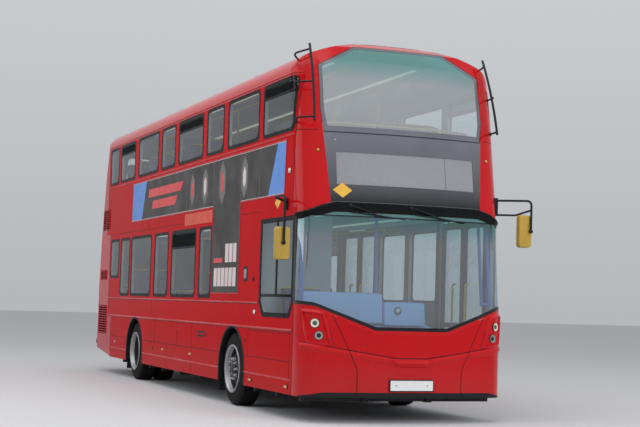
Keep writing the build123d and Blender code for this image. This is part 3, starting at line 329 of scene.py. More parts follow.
yellow_paint = plain("mirror_yellow", (0.47, 0.30, 0.045), 0.38, vary=0.14, scale=9.0, grain=0.0006,
                     Coat_Weight=0.1)
pole_yellow = plain("pole_yellow", (0.72, 0.50, 0.05), 0.4, vary=0.1, scale=20.0, grain=0.0006)
post_blue = plain("post_blue", (0.075, 0.16, 0.42), 0.45, vary=0.1, scale=4.0, grain=0.0006)
blue_trim = plain("blue_trim", (0.27, 0.43, 0.70), 0.5, vary=0.1, scale=4.0, grain=0.0008)
dark_trim = plain("dark_trim", (0.05, 0.055, 0.065), 0.6, vary=0.2, scale=6.0, grain=0.0008)
pale_trim = plain("pale_trim", (0.45, 0.47, 0.49), 0.55, vary=0.08, scale=4.0, grain=0.0006)
floor_cover = plain("floor_cover", (0.12, 0.125, 0.135), 0.8, vary=0.3, scale=60.0, grain=0.001)
moquette = weave("moquette", (0.03, 0.05, 0.16), (0.35, 0.06, 0.07))
vinyl = plain("seat_vinyl", (0.035, 0.04, 0.06), 0.5, vary=0.2, scale=8.0, grain=0.0012, grain_scale=600)
plate_white = plain("plate_white", (0.78, 0.79, 0.78), 0.42, vary=0.06, scale=12.0, Coat_Weight=0.3)
plate_yellow = plain("plate_yellow", (0.80, 0.60, 0.03), 0.42, vary=0.06, scale=12.0, Coat_Weight=0.3)
mark_yellow = plain("mark_yellow", (0.80, 0.46, 0.06), 0.45, vary=0.08, scale=12.0)
screen_grey = plain("display_screen", (0.28, 0.28, 0.30), 0.3, vary=0.05, scale=0.8, Specular_IOR_Level=0.3)
mirror_face = plain("mirror_face", (0.75, 0.77, 0.80), 0.04, 1.0, vary=0.03, scale=5.0)
lamp_cream = plain("lamp_cream", (0.80, 0.76, 0.62), 0.2, vary=0.08, scale=30.0, Coat_Weight=0.8)
saloon_light = plain("saloon_light", (0.80, 0.78, 0.70), 0.4, vary=0.05, scale=8.0,
                     Emission_Color=(1.0, 0.93, 0.78, 1),
                     Emission_Strength=0.3)
lamp_red = plain("lamp_red", (0.42, 0.008, 0.010), 0.18, vary=0.2, scale=60.0, Coat_Weight=0.9)
lamp_amber = plain("lamp_amber", (0.72, 0.24, 0.02), 0.18, vary=0.2, scale=60.0, Coat_Weight=0.9)
# Panel glass: its colour rises unevenly from near black low down to pale grey near the top; this gradient is
# a painted reflection
panel_glass, tree, shader = start_material("panel_glass", (0.02, 0.02, 0.022), 0.1)
low_painted_reflection = ranged(tree, height_of(tree), 2.46, 2.68, 0.0, 0.55)
painted_reflection = calc(tree, "ADD", low_painted_reflection, ranged(tree, height_of(tree), 2.68, 3.24, 0.0, 0.45))
uneven = calc(tree, "MULTIPLY", painted_reflection, ranged(tree, noise_of(tree, 1.6, 3.0), 0.2, 0.8, 0.75, 1.1))
tree.links.new(mixed(tree, uneven, (0.008, 0.008, 0.009), (0.155, 0.158, 0.185)), shader.inputs["Base Color"])
tree.links.new(ranged(tree, noise_of(tree, 9.0, 5.0), 0.3, 0.7, 0.06, 0.16), shader.inputs["Roughness"])
lamp_core = plain("lamp_core", (0.05, 0.10, 0.07), 0.1, 0.2, vary=0.2, scale=60.0)
advert_dark = plain("advert_dark", (0.050, 0.046, 0.043), 0.42, vary=0.5, scale=0.35, **DULL)
advert_mid = plain("advert_mid", (0.17, 0.155, 0.145), 0.42, vary=0.15, scale=0.5, **DULL)
advert_blue = plain("advert_blue", (0.10, 0.27, 0.70), 0.4, vary=0.12, scale=1.4)
advert_red = plain("advert_red", (0.70, 0.045, 0.05), 0.4, vary=0.1, scale=2.0)
advert_orange = plain("advert_orange", (0.66, 0.055, 0.012), 0.4, vary=0.1, scale=2.0)
advert_pale = plain("advert_pale", (0.72, 0.60, 0.60), 0.45, vary=0.1, scale=3.0)
front_glass = glass("front_glass", (0.72, 0.86, 0.92), 0.18,
                    band=(2.04, 2.30, (0.30, 0.66, 0.66), (0.45, 0.80, 0.80)))
crown_glass = glass("crown_glass", (0.66, 0.80, 0.82), 0.40,
                    band=(3.88, 4.12, (0.30, 0.68, 0.66), (0.42, 0.80, 0.76)))
side_glass = glass("side_glass", (0.84, 0.88, 0.86), 0.0)
dark_glass = glass("dark_glass", (0.10, 0.11, 0.11), -0.30)
door_glass = glass("door_glass", (0.66, 0.72, 0.73), 0.05)


# Mesh building
class Shape:
    """Gathers points and faces, then becomes one mesh."""

    def __init__(self):
        self.points = []
        self.faces = []
        self.slots = []

    def add(self, points, faces, slot=0):
        base = len(self.points)
        self.points.extend(Vector(p) for p in points)
        self.faces.extend(tuple(base + i for i in face) for face in faces)
        self.slots.extend([slot] * len(faces))

    def add_mesh(self, work, slot=0):
        work.verts.index_update()
        points = [v.co.copy() for v in work.verts]
        faces = [[v.index for v in f.verts] for f in work.faces]
        self.add(points, faces, slot)
        work.free()

    def grid(self, rows, slot=0, close_rows=False, close_columns=False):
        count = len(rows[0])
        points = [p for row in rows for p in row]
        faces = []
        for i in range(len(rows) if close_rows else len(rows) - 1):
            for j in range(count if close_columns else count - 1):
                a = i * count + j
                b = i * count + (j + 1) % count
                c = ((i + 1) % len(rows)) * count + (j + 1) % count
                d = ((i + 1) % len(rows)) * count + j
                faces.append((a, b, c, d))
        self.add(points, faces, slot)

    def box(self, low, high, radius=0.0, slot=0, turn=None, steps=2):
        work = bmesh.new()
        bmesh.ops.create_cube(work, size=1.0)
        centre = (Vector(low) + Vector(high)) / 2
        size = Vector(high) - Vector(low)
        for v in work.verts:
            v.co = Vector((v.co.x * abs(size.x), v.co.y * abs(size.y), v.co.z * abs(size.z)))
        if radius:
            bmesh.ops.bevel(work, geom=work.edges[:], offset=radius, segments=steps, affect="EDGES",
                            profile=0.5)
        for v in work.verts:
            v.co = (turn @ v.co if turn else v.co) + centre
        self.add_mesh(work, slot)

    def tube(self, path, radius, sides=14, slot=0, caps=True):
        path = [Vector(p) for p in path]
        rows = []
        side = None
        for index, point in enumerate(path):
            ahead = path[min(index + 1, len(path) - 1)] - path[max(index - 1, 0)]
            ahead.normalize()
            if side is None:
                side = ahead.orthogonal().normalized()
            side = (side - ahead * side.dot(ahead)).normalized()
            up = ahead.cross(side)
            size = radius[index] if isinstance(radius, (list, tuple)) else radius
            row = []
            for k in range(sides):
                angle = 2 * math.pi * k / sides
                row.append(point + side * (size * math.cos(angle)) + up * (size * math.sin(angle)))
            rows.append(row)
        self.grid(rows, slot, close_columns=True)
        if caps:
            start = len(self.points) - len(path) * sides
            self.faces.append(tuple(start + k for k in reversed(range(sides))))
            last = start + (len(path) - 1) * sides
            self.faces.append(tuple(last + k for k in range(sides)))
            self.slots.extend([slot, slot])

    def prism(self, loop, depth, slot=0):
        """A flat outline made thick along depth."""
        loop = [Vector(p) for p in loop]
        depth = Vector(depth)
        count = len(loop)
        normal = Vector()
        for k in range(count):
            normal += loop[k].cross(loop[(k + 1) % count])
        if normal.dot(depth) < 0:
            loop.reverse()
        points = loop + [p + depth for p in loop]
        faces = [tuple(reversed(range(count))), tuple(range(count, 2 * count))]
        faces += [(k, (k + 1) % count, count + (k + 1) % count, count + k) for k in range(count)]
        self.add(points, faces, slot)

    def ring(self, outer, inner, depth, slot=0):
        """A flat band between two outlines with as many points each, made thick along depth."""
        depth = Vector(depth)
        outer = [Vector(p) for p in outer]
        inner = [Vector(p) for p in inner]
        rows = [outer, inner, [p + depth for p in inner], [p + depth for p in outer]]
        self.grid(rows, slot, close_rows=True, close_columns=True)

    def lathe(self, profile, centre, axis, sides=64, slot=0):
        """profile holds (along the axis, radius)."""
        centre = Vector(centre)
        axis = Vector(axis).normalized()
        side = axis.orthogonal().normalized()
        up = axis.cross(side)
        rows = []
        for along, radius in profile:
            row = []
            for k in range(sides):
                angle = 2 * math.pi * k / sides
                row.append(centre + axis * along + (side * math.cos(angle) + up * math.sin(angle)) * radius)
            rows.append(row)
        self.grid(rows, slot, close_columns=True)

    def mesh(self, name, sharp):
        mesh = bpy.data.meshes.new(name)
        mesh.from_pydata([tuple(p) for p in self.points], [], self.faces)
        mesh.polygons.foreach_set("material_index", self.slots)
        work = bmesh.new()
        work.from_mesh(mesh)
        bmesh.ops.remove_doubles(work, verts=work.verts[:], dist=MERGE_DISTANCE)
        bmesh.ops.recalc_face_normals(work, faces=work.faces[:])
        work.to_mesh(mesh)
        work.free()
        mesh.shade_smooth()
        mesh.set_sharp_from_angle(angle=math.radians(sharp))
        return mesh


def piece(name, shape, body, materials, replaced=(), sharp=35.0):
    mesh = shape.mesh(name, sharp)
    made = bpy.data.objects.new(name, mesh)
    scene.collection.objects.link(made)
    for material in materials:
        mesh.materials.append(material)
    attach(made, body)
    if replaced:
        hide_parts(*replaced)
    return made


# The outer surface: a plan line round the nose, leaning back with height
def lean(z, column):
    levels = OUTLINE_LEVELS
    for low, high in zip(levels, levels[1:]):
        if z <= high[0]:
            break
    return between(low[column], high[column], (z - low[0]) / (high[0] - low[0]))


def corner_line(bow_radius, corner, front):
    """Plan points from the middle of one end round a corner and along the side, with their lengths."""
    half = HALF_WIDTH
    centre_x = half - corner
    reach = math.sqrt((bow_radius - corner) ** 2 - centre_x ** 2)
    centre_y = bow_radius - reach
    start = math.atan2(centre_x, reach)
    points = []
    for k in range(41):
        angle = start * k / 40
        points.append((bow_radius * math.sin(angle), bow_radius - bow_radius * math.cos(angle)))
    for k in range(1, 25):
        angle = between(start, math.pi / 2, k / 24)
        points.append((centre_x + corner * math.sin(angle), centre_y - corner * math.cos(angle)))
    points.append((half, centre_y + 3.0))
    sign, end = (1, NOSE_Y) if front else (-1, TAIL_Y)
    points = [(x, end + sign * y) for x, y in points]
    lengths = [0.0]
    for (x0, y0), (x1, y1) in zip(points, points[1:]):
        lengths.append(lengths[-1] + math.hypot(x1 - x0, y1 - y0))
    return points, lengths


NOSE_LINE = corner_line(NOSE_BOW_RADIUS, NOSE_CORNER, True)
TAIL_LINE = corner_line(TAIL_BOW_RADIUS, TAIL_CORNER, False)


def plan_at(line, s):
    points, lengths = line
    side = 1 if s >= 0 else -1
    s = abs(s)
    for k in range(len(lengths) - 1):
        if s <= lengths[k + 1]:
            break
    share = (s - lengths[k]) / (lengths[k + 1] - lengths[k])
    (x0, y0), (x1, y1) = points[k], points[k + 1]
    along = Vector((x1 - x0, y1 - y0, 0)).normalized()
    sign = 1 if line is NOSE_LINE else -1
    out = Vector((along.y, -along.x, 0)) * sign
    return Vector((side * between(x0, x1, share), between(y0, y1, share), 0)), Vector((side * out.x, out.y,
                                                                                       0))


def s_of_x(line, x):
    points, lengths = line
    for k in range(len(points) - 1):
        if abs(x) <= points[k + 1][0]:
            share = (abs(x) - points[k][0]) / max(1e-9, points[k + 1][0] - points[k][0])
            return math.copysign(between(lengths[k], lengths[k + 1], share), x)
    return math.copysign(lengths[-2], x)


def skin(line, s, z, lift=0.0):
    """A point on the outer surface s metres round from the middle of the nose or tail, at height z."""
    point, out = plan_at(line, s)
    front = line is NOSE_LINE
    back = lean(z, 1 if front else 2)
    slope = (lean(z + 0.01, 1 if front else 2) - back) / 0.01
    point.y += back if front else -back
    point.z = z
    face = abs(out.y)
    normal = Vector((out.x, out.y, slope * face)).normalized()
    return point + normal * lift, normal


def nose(x, z, lift=0.0):
    return skin(NOSE_LINE, s_of_x(NOSE_LINE, x), z, lift)[0]


def s_of_y(line, y):
    points, lengths = line
    sign = 1 if line is NOSE_LINE else -1
    for k in range(len(points) - 1):
        if sign * y <= sign * points[k + 1][1]:
            share = (y - points[k][1]) / (points[k + 1][1] - points[k][1])
            return between(lengths[k], lengths[k + 1], share)
    return lengths[-1]


def side_point(side, y, z, stand=0.0):
    """A point of the side and its normal: the side is flat until the corner of the leaning nose begins."""
    reach = y - lean(z, 1)
    if reach > NOSE_LINE[0][-2][1]:
        return Vector((side * (HALF_WIDTH + stand), y, z)), Vector((side, 0, 0))
    return skin(NOSE_LINE, side * s_of_y(NOSE_LINE, reach), z, stand)


def stations(points, step):
    """Points along straight runs in two numbers, no further apart than step."""
    found = [points[0]]
    for (a, b), (c, d) in zip(points, points[1:]):
        count = max(1, math.ceil(math.hypot(c - a, d - b) / step))
        found += [(between(a, c, k / count), between(b, d, k / count)) for k in range(1, count + 1)]
    return found


def strip(shape, spots, width, proud, slot=0, sunk=0.004, crown=0.0):
    """A band along surface spots, each (point, normal): width across, proud above the surface."""
    rows = []
    for index, (point, normal) in enumerate(spots):
        ahead = spots[min(index + 1, len(spots) - 1)][0] - spots[max(index - 1, 0)][0]
        across = ahead.cross(normal).normalized() * (width / 2)
        low, high = normal * -sunk, normal * proud
        top = normal * (proud + crown)
        row = [point - across + low, point - across + high, point + top, point + across + high,
               point + across + low]
        rows.append(row)
    shape.grid(rows, slot, close_columns=True)
    count = len(shape.points)
    shape.faces += [tuple(count - 5 * len(spots) + k for k in range(5)),
                    tuple(count - 5 + k for k in reversed(range(5)))]
    shape.slots += [slot, slot]


def front_spots(points, step=0.04, line=None):
    line = line or NOSE_LINE
    found = []
    for x, z in stations(points, step):
        found.append(skin(line, s_of_x(line, x), z))
    return found


def wrap_spots(points, step=0.04):
    return [skin(NOSE_LINE, s, z) for s, z in stations(points, step)]


def side_spots(side, points, step=0.3):
    """Surface spots along straight runs on a side, close together where the corner of the nose begins."""
    (y, z), (next_y, _) = points[:2]
    if y < -1.7 < next_y:
        start = stations([(y, z), (-1.7, z)], 0.04)
        found = start + stations([(-1.7, z)] + list(points[1:]), step)[1:]
    else:
        found = stations(points, step)
    return [side_point(side, aft(y), z) for y, z in found]


def rounded_loop(y0, y1, z0, z1, radii, steps=7):
    """Points round a rounded window from the lower front corner on, with one radius or four."""
    if not isinstance(radii, tuple):
        radii = (radii,) * 4
    loop = []
    corners = ((y0, z0, 1, 1, 180), (y1, z0, -1, 1, 270), (y1, z1, -1, -1, 0), (y0, z1, 1, -1, 90))
    for (y, z, dy, dz, start), radius in zip(corners, radii):
        for k in range(steps + 1):
            angle = math.radians(start + 90 * k / steps)
            loop.append((y + dy * radius + radius * math.cos(angle),
                         z + dz * radius + radius * math.sin(angle)))
    return loop


# The frame's own solids: finishes and soft shading
def smoothing_group():
    group = bpy.data.node_groups.new("soft_shading", "GeometryNodeTree")
    group.interface.new_socket("Geometry", in_out="INPUT", socket_type="NodeSocketGeometry")
    group.interface.new_socket("Geometry", in_out="OUTPUT", socket_type="NodeSocketGeometry")
    start = group.nodes.new("NodeGroupInput")
    end = group.nodes.new("NodeGroupOutput")
    angle = group.nodes.new("GeometryNodeInputMeshEdgeAngle")
    below = group.nodes.new("FunctionNodeCompare")
    below.operation = "LESS_THAN"
    below.inputs[1].default_value = math.radians(30)
    faces = group.nodes.new("GeometryNodeSetShadeSmooth")
    edges = group.nodes.new("GeometryNodeSetShadeSmooth")
    edges.domain = "EDGE"
    link = group.links.new
    link(angle.outputs["Unsigned Angle"], below.inputs[0])
    link(start.outputs[0], faces.inputs["Geometry"])
    link(faces.outputs[0], edges.inputs["Geometry"])
    link(below.outputs[0], edges.inputs["Shade Smooth"])
    link(edges.outputs[0], end.inputs[0])
    return group


SOFT = smoothing_group()


def finish_node(name, material):
    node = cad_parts[name]
    node.data.materials.clear()
    node.data.materials.append(material)
    weld = node.modifiers.new("weld", "WELD")
    weld.merge_threshold = 0.0001
    soft = node.modifiers.new("soft", "NODES")
    soft.node_group = SOFT
    even = node.modifiers.new("even", "WEIGHTED_NORMAL")
    even.keep_sharp = True
    even.weight = 80


FINISHES = {
    paint: "roof front_dome front_corners front_panel bumper nose_corners rear_lower rear_upper engine_lid",
    side_paint: "side_lower_right side_lower_left side_upper_right side_upper_left",
    skirt_paint: "skirt_panels",
    panel_glass: "destination_panel",
    black_gloss: "windscreen_header",
    front_glass: "windscreen_lower",
    crown_glass: "windscreen_upper",
    side_glass: "side_windows_lower side_windows_upper rear_window",
    floor_cover: "lower_floor upper_floor",
    pale_trim: "staircase cab_partition",
    dark_trim: "wheel_boxes",
    blue_trim: "dashboard",
    chassis_black: "chassis_frame air_springs",
    cast_iron: "engine_block front_axle rear_axle knuckle_left knuckle_right",
    dark_steel: "front_door_front_arm front_door_rear_arm centre_door_front_arm centre_door_rear_arm",
}
for material, names in FINISHES.items():
    for name in names.split():
        finish_node(name, material)


# Wheels
def tyre_profile():
    half = TYRE_WIDTH / 2
    grooves = (-0.078, -0.027, 0.027, 0.078)
    side = [
        (half - 0.022, 0.288), (half - 0.004, 0.300), (half + 0.000, 0.322), (half + 0.000, 0.356),
        (half - 0.002, 0.376), (half - 0.0015, 0.380), (half - 0.006, 0.392), (half - 0.010, 0.412),
        (half - 0.016, 0.432), (half - 0.022, 0.4435), (half - 0.030, 0.452),
    ]
    tread = []
    for centre in grooves:
        tread += [(centre - 0.0075, 0.4595), (centre - 0.005, 0.447), (centre + 0.005, 0.447),
                  (centre + 0.0075, 0.4595)]
    left = [(-x, r) for x, r in side]
    right = list(reversed(side))
    inner = [(half - 0.05, 0.287), (-half + 0.05, 0.287)]
    return left + tread + right + inner


def add_tyre(shape, x, y):
    """A tyre with four rain grooves, sipes across the shoulders and two rings on the wall."""
    sides = 120
    profile = tyre_profile()
    rows = []
    for along, radius in profile:
        row = []
        for k in range(sides):
            angle = 2 * math.pi * k / sides
            r = radius
            if k % 3 == 0 and 0.085 < abs(along) < 0.125 and radius > 0.43:
                r = radius - 0.009
            row.append(Vector((x + along, y + r * math.sin(angle), HUB_Z + r * math.cos(angle))))
        rows.append(row)
    shape.grid(rows, close_rows=True, close_columns=True)


def holed_disc(shape, x, y, side, depth, outer, inner, holes, hole_ring, hole_size, slot=0, cone=0.0):
    """A dished plate with a ring of round hand holes, made thick by depth."""
    across = 16
    rows = []
    for k in range(holes):
        middle = 2 * math.pi * (k + 0.5) / holes
        half = math.pi / holes
        spots = []
        rim = []
        for j in range(across):
            turn = 2 * math.pi * j / across
            r = hole_ring + hole_size * math.cos(turn)
            a = middle + hole_size * math.sin(turn) / hole_ring
            spots.append((r, a))
            c, s = math.cos(turn), math.sin(turn)
            grow = 1 / max(abs(c), abs(s))
            u, v = c * grow, s * grow
            rim.append((between(inner, outer, (u + 1) / 2), middle + half * v))
        rows.append((spots, rim))
    for face in (0, 1):
        offset = -depth * face
        for spots, rim in rows:
            loops = []
            for loop in (spots, rim):
                made = []
                for r, a in loop:
                    stand = cone * (outer - r) / (outer - inner) + offset
                    made.append(Vector((x + side * stand, y + r * math.sin(a), HUB_Z + r * math.cos(a))))
                loops.append(made)
            shape.grid(loops, slot, close_columns=True)
    for spots, rim in rows:
        loops = []
        for face in (0, 1):
            made = []
            for r, a in spots:
                stand = cone * (outer - r) / (outer - inner) - depth * face
                made.append(Vector((x + side * stand, y + r * math.sin(a), HUB_Z + r * math.cos(a))))
            loops.append(made)
        shape.grid(loops, slot, close_columns=True)


def add_nuts(shape, x, y, side, ring, count, size, slot):
    for k in range(count):
        angle = 2 * math.pi * (k + 0.5) / count
        centre = Vector((x, y + ring * math.sin(angle), HUB_Z + ring * math.cos(angle)))
        shape.lathe([(0, size * 1.25), (0.006, size * 1.25), (0.007, size)], centre, (side, 0, 0), 18, slot)
        shape.lathe([(0.007, size), (0.026, size * 0.96), (0.030, size * 0.7)], centre, (side, 0, 0), 6, slot)
        shape.lathe([(0.030, size * 0.62), (0.044, size * 0.6), (0.046, 0.002)], centre, (side, 0, 0), 12,
                    slot)


def rim_shell(shape, x, side, y, face, slot):
    """The rim: a bright rolled lip, then a dark gutter and well, from the outer flange inward."""
    lip = [
        (face, 0.2865), (face, 0.303), (face + 0.012, 0.303), (face + 0.0165, 0.298), (face + 0.0165, 0.290),
        (face + 0.010, 0.283), (face - 0.012, 0.276), (face - 0.045, 0.270),
    ]
    well = [
        (face - 0.045, 0.270), (face - 0.060, 0.262), (face - 0.262, 0.256), (face - 0.275,
                                                                              0.262), (face - 0.287, 0.303),
        (face - 0.275, 0.303), (face - 0.262, 0.287), (face - 0.03, 0.287), (face, 0.2865),
    ]
    shape.lathe([(side * a, r) for a, r in lip], (x, y, HUB_Z), (1, 0, 0), 96, slot)
    shape.lathe([(side * a, r) for a, r in well], (x, y, HUB_Z), (1, 0, 0), 96, slot + 1)


def front_wheel(side, word):
    y = FRONT_AXLE_Y
    x = side * WHEEL_X
    tyre = Shape()
    add_tyre(tyre, x, y)
    piece(f"tyre_front_{word}", tyre, f"front_wheel_{word}", [tyre_rubber], [f"front_tyre_{word}"],
          40)
    rim = Shape()
    half = TYRE_WIDTH / 2
    rim_shell(rim, x, side, y, half, 0)
    dish = 0.048
    disc_x = x + side * dish
    holed_disc(rim, disc_x, y, side, 0.012, 0.262, 0.165, 10, 0.215, 0.024, 1, cone=0.052)
    rim.lathe([(0.052, 0.165), (0.062, 0.158), (0.062, 0.094)], (disc_x, y, HUB_Z), (side, 0, 0), 72, 1)
    rim.lathe([(0.04, 0.165), (0.05, 0.158), (0.05, 0.09)], (disc_x, y, HUB_Z), (side, 0, 0), 72, 1)
    hub = [(-0.06, 0.094), (0.05, 0.094), (0.080, 0.090), (0.088, 0.082), (0.096, 0.05), (0.098, 0.0008)]
    rim.lathe(hub, (disc_x, y, HUB_Z), (side, 0, 0), 48, 1)
    ring = [(0.062, 0.150), (0.070, 0.150), (0.072, 0.146), (0.072, 0.104), (0.070, 0.100), (0.062, 0.100)]
    rim.lathe(ring, (disc_x, y, HUB_Z), (side, 0, 0), 72, 1)
    add_nuts(rim, disc_x + side * 0.072, y, side, 0.1275, 10, 0.0175, 2)
    for k in range(6):
        angle = math.radians(60 * k)
        spot = Vector((disc_x + side * 0.088, y + 0.064 * math.sin(angle), HUB_Z + 0.064 * math.cos(angle)))
        rim.lathe([(0, 0.007), (0.008, 0.0065), (0.009, 0.0008)], spot, (side, 0, 0), 6, 2)
    piece(f"rim_front_{word}", rim, f"front_wheel_{word}", [steel, dark_steel, bright_metal],
          [f"front_rim_{word}"])


def rear_wheel(side, word):
    y = REAR_AXLE_Y
    x = side * WHEEL_X
    tyre = Shape()
    add_tyre(tyre, x, y)
    add_tyre(tyre, x - side * TWIN_PITCH, y)
    piece(f"tyres_rear_{word}", tyre, f"rear_wheel_{word}", [tyre_rubber], [f"rear_tyres_{word}"], 40)
    rim = Shape()
    half = TYRE_WIDTH / 2
    rim_shell(rim, x, side, y, half, 0)
    rim_shell(rim, x - side * TWIN_PITCH, -side, y, half, 0)
    web = x - side * TWIN_PITCH / 2 + side * 0.015
    holed_disc(rim, web, y, side, 0.03, 0.262, 0.165, 10, 0.215, 0.024, 1)
    rim.lathe([(0, 0.165), (side * 0.006, 0.160), (side * 0.006, 0.108)], (web, y, HUB_Z), (1, 0, 0), 72, 1)
    hub = [(0.0, 0.112), (0.10, 0.110), (0.165, 0.104), (0.178, 0.092), (0.190, 0.05), (0.192, 0.0008)]
    rim.lathe([(side * a, r) for a, r in hub], (web, y, HUB_Z), (1, 0, 0), 60, 1)
    add_nuts(rim, web + side * 0.006, y, side, 0.1375, 10, 0.0155, 2)
    for k in range(8):
        angle = math.radians(45 * k)
        spot = Vector((web + side * 0.180, y + 0.078 * math.sin(angle), HUB_Z + 0.078 * math.cos(angle)))
        rim.lathe([(0, 0.009), (0.009, 0.0085), (0.010, 0.0008)], spot, (side, 0, 0), 6, 2)
    piece(f"rims_rear_{word}", rim, f"rear_wheel_{word}", [steel, dark_steel, bright_metal],
          [f"rear_rims_{word}"])


for side, word in ((1, "left"), (-1, "right")):
    front_wheel(side, word)
    rear_wheel(side, word)


def filled(loops, gap):
    """Outlines of as many points each, with more put in along their longer runs."""
    made = [[] for _ in loops]
    total = len(loops[0])
    for k in range(total):
        after = (k + 1) % total
        longest = max(math.dist(loop[k], loop[after]) for loop in loops)
        count = max(1, math.ceil(longest / gap))
        for loop, out in zip(loops, made):
            for i in range(count):
                out.append(tuple(between(a, b, i / count) for a, b in zip(loop[k], loop[after])))
    return made


# Side windows: a black border inside each opening, a rubber edge outside it, hoppers with their bar
def window_trim(shape, side, front, rear, low, high, hopper, glass_shape):
    grow = 0.016
    border = 0.030
    y0, y1 = aft(front), aft(rear)
    big = 0.13 if not hopper else 0.07
    outer = rounded_loop(y0 - grow, y1 + grow, low - grow, high + grow, 0.075)
    seal = rounded_loop(y0 - grow + 0.008, y1 + grow - 0.008, low - grow + 0.008, high + grow - 0.008, 0.068)
    inner = rounded_loop(y0 + border, y1 - border, low + border, high - border, (big, 0.06, 0.06, 0.06))
    x = side * HALF_WIDTH
    outer, seal, inner = filled((outer, seal, inner), 0.05 if front < -1.9 else 4.0)

    def band(first, second, low_stand, high_stand, slot):
        corners = ((first, low_stand), (second, low_stand), (second, high_stand), (first, high_stand))
        rows = [[side_point(side, y, z, stand)[0] for y, z in loop] for loop, stand in corners]
        shape.grid(rows, slot, close_rows=True, close_columns=True)

    def bar(target, reach, heights, stands, slot):
        count = 14 if front < -1.9 else 1
        rows = []
        for k in range(count + 1):
            y = between(*reach, k / count)
            corners = ((heights[0], stands[0]), (heights[0], stands[1]), (heights[1], stands[1]),
                       (heights[1], stands[0]))
            rows.append([side_point(side, y, z, stand)[0] for z, stand in corners])
        target.grid(rows, slot, close_columns=True)
        target.add(rows[0], [(0, 1, 2, 3)], slot)
        target.add(rows[-1], [(3, 2, 1, 0)], slot)

    band(outer, seal, -0.003, 0.003, 0)
    band(seal, inner, -0.003, 0.0012, 1)
    if hopper:
        split = high - 0.26 * (high - low)
        bar(shape, (y0 + border - 0.004, y1 - border + 0.004), (split - 0.014, split + 0.014),
            (-0.004, 0.004), 1)
        bar(glass_shape, (y0 + border + 0.01, y1 - border - 0.01), (split + 0.016, high - border + 0.004),
            (-0.002, 0.0008), 0)
        for share in (0.3, 0.7):
            y = between(y0, y1, share)
            shape.box((x, y - 0.02, split + 0.012), (x - side * 0.05, y + 0.02, split + 0.03), 0.003, 1)


def offset_loop(points, distance):
    """A closed outline moved outward by distance; its points run clockwise seen with y to the right."""
    moved = []
    for index, point in enumerate(points):
        before = Vector(points[index - 1])
        here = Vector(point)
        after = Vector(points[(index + 1) % len(points)])
        first = (here - before).normalized()
        second = (after - here).normalized()
        out = Vector((-first.y, first.x)) + Vector((-second.y, second.x))
        moved.append(here + out * (distance / max(0.3, out.dot(Vector((-first.y, first.x))))))
    return moved


CAB_WINDOW = ((-2.19, 1.31), (-2.19, 2.28), (-1.045, 2.28), (-1.045, 1.31), (-1.18, 1.16), (-2.08, 1.16))


def cab_window_trim(shape):
    """The driver's window: a broad black border, a sliding pane's upright and a waist bar."""
    loops = [[(-HALF_WIDTH + 0.002, aft(y), z) for y, z in offset_loop(CAB_WINDOW, d)] for d in (0.022,
                                                                                                 -0.034)]
    shape.ring(loops[0], loops[1], (-0.0065, 0, 0), 1)
    for y0, y1, z0, z1 in ((-1.66, -1.60, 1.40, 2.27), (-2.18, -1.06, 1.375, 1.41)):
        shape.box((-HALF_WIDTH - 0.003, aft(y0), z0), (-HALF_WIDTH + 0.006, aft(y1), z1), 0.002, 1)


for side, word, table in ((-1, "right", LOWER_WINDOWS_RIGHT), (1, "left", LOWER_WINDOWS_LEFT)):
    trim = Shape()
    if side < 0:
        cab_window_trim(trim)
    hoppers = Shape()
    for front, rear, hopper in UPPER_WINDOWS:
        window_trim(trim, side, front, rear, *UPPER_WINDOW_Z, hopper, hoppers)
    for front, rear, sill, hopper in table:
        window_trim(trim, side, front, rear, sill, LOWER_WINDOW_TOP, hopper, hoppers)
    piece(f"window_trim_{word}", trim, ROOT, [rubber, frit_black])
    piece(f"hopper_panes_{word}", hoppers, ROOT, [dark_glass])


# Seats: padded cushions and backs on moulded shells
SEAT_X = 0.70


def pad_mesh(width, depth, thick, crown, channels):
    """A stuffed pad lying flat: crowned faces, sides that pull in between the corners, sewn channels."""
    nx, ny = 26, 14
    work = Shape()

    def surface(u, v, top):
        edge = (1 - abs(2 * u - 1) ** 5) * (1 - abs(2 * v - 1) ** 5)
        pull = 0.012 * (1 - (2 * u - 1) ** 2)
        pull_x = 0.010 * (1 - (2 * v - 1) ** 2)
        x = (u - 0.5) * (width - 2 * pull_x * abs(2 * u - 1))
        y = (v - 0.5) * (depth - 2 * pull * abs(2 * v - 1))
        swell = edge ** 0.45
        bulge = thick / 2 + crown * (1 - (2 * u - 1) ** 2) * (1 - (2 * v - 1) ** 2)
        z = thick / 2 + bulge * (swell if top else -swell)
        if top:
            for place_v in channels:
                z -= 0.010 * math.exp(-((v - place_v) / 0.018) ** 2)
            z -= 0.012 * math.exp(-((u - 0.5) / 0.012) ** 2)
        return Vector((x, y, max(z, 0.0) if not top else z))

    us = [0.5 - 0.5 * math.cos(math.pi * i / nx) for i in range(nx + 1)]
    vs = [0.5 - 0.5 * math.cos(math.pi * j / ny) for j in range(ny + 1)]
    work.grid([[surface(u, v, True) for v in vs] for u in us])
    work.grid([[surface(u, v, False) for v in reversed(vs)] for u in us])
    return work


CUSHION = pad_mesh(0.84, 0.40, 0.085, 0.012, (0.32, 0.66))
BACK = pad_mesh(0.84, 0.56, 0.06, 0.012, (0.25, 0.5, 0.75))
DRIVER_CUSHION = pad_mesh(0.46, 0.40, 0.09, 0.012, (0.5,))
DRIVER_BACK = pad_mesh(0.46, 0.58, 0.08, 0.012, (0.3, 0.65))


def put(shape, part, where, pitch, slot=0):
    turn = Matrix.Rotation(math.radians(pitch), 3, "X")
    shape.add([turn @ p + Vector(where) for p in part.points], part.faces, slot)


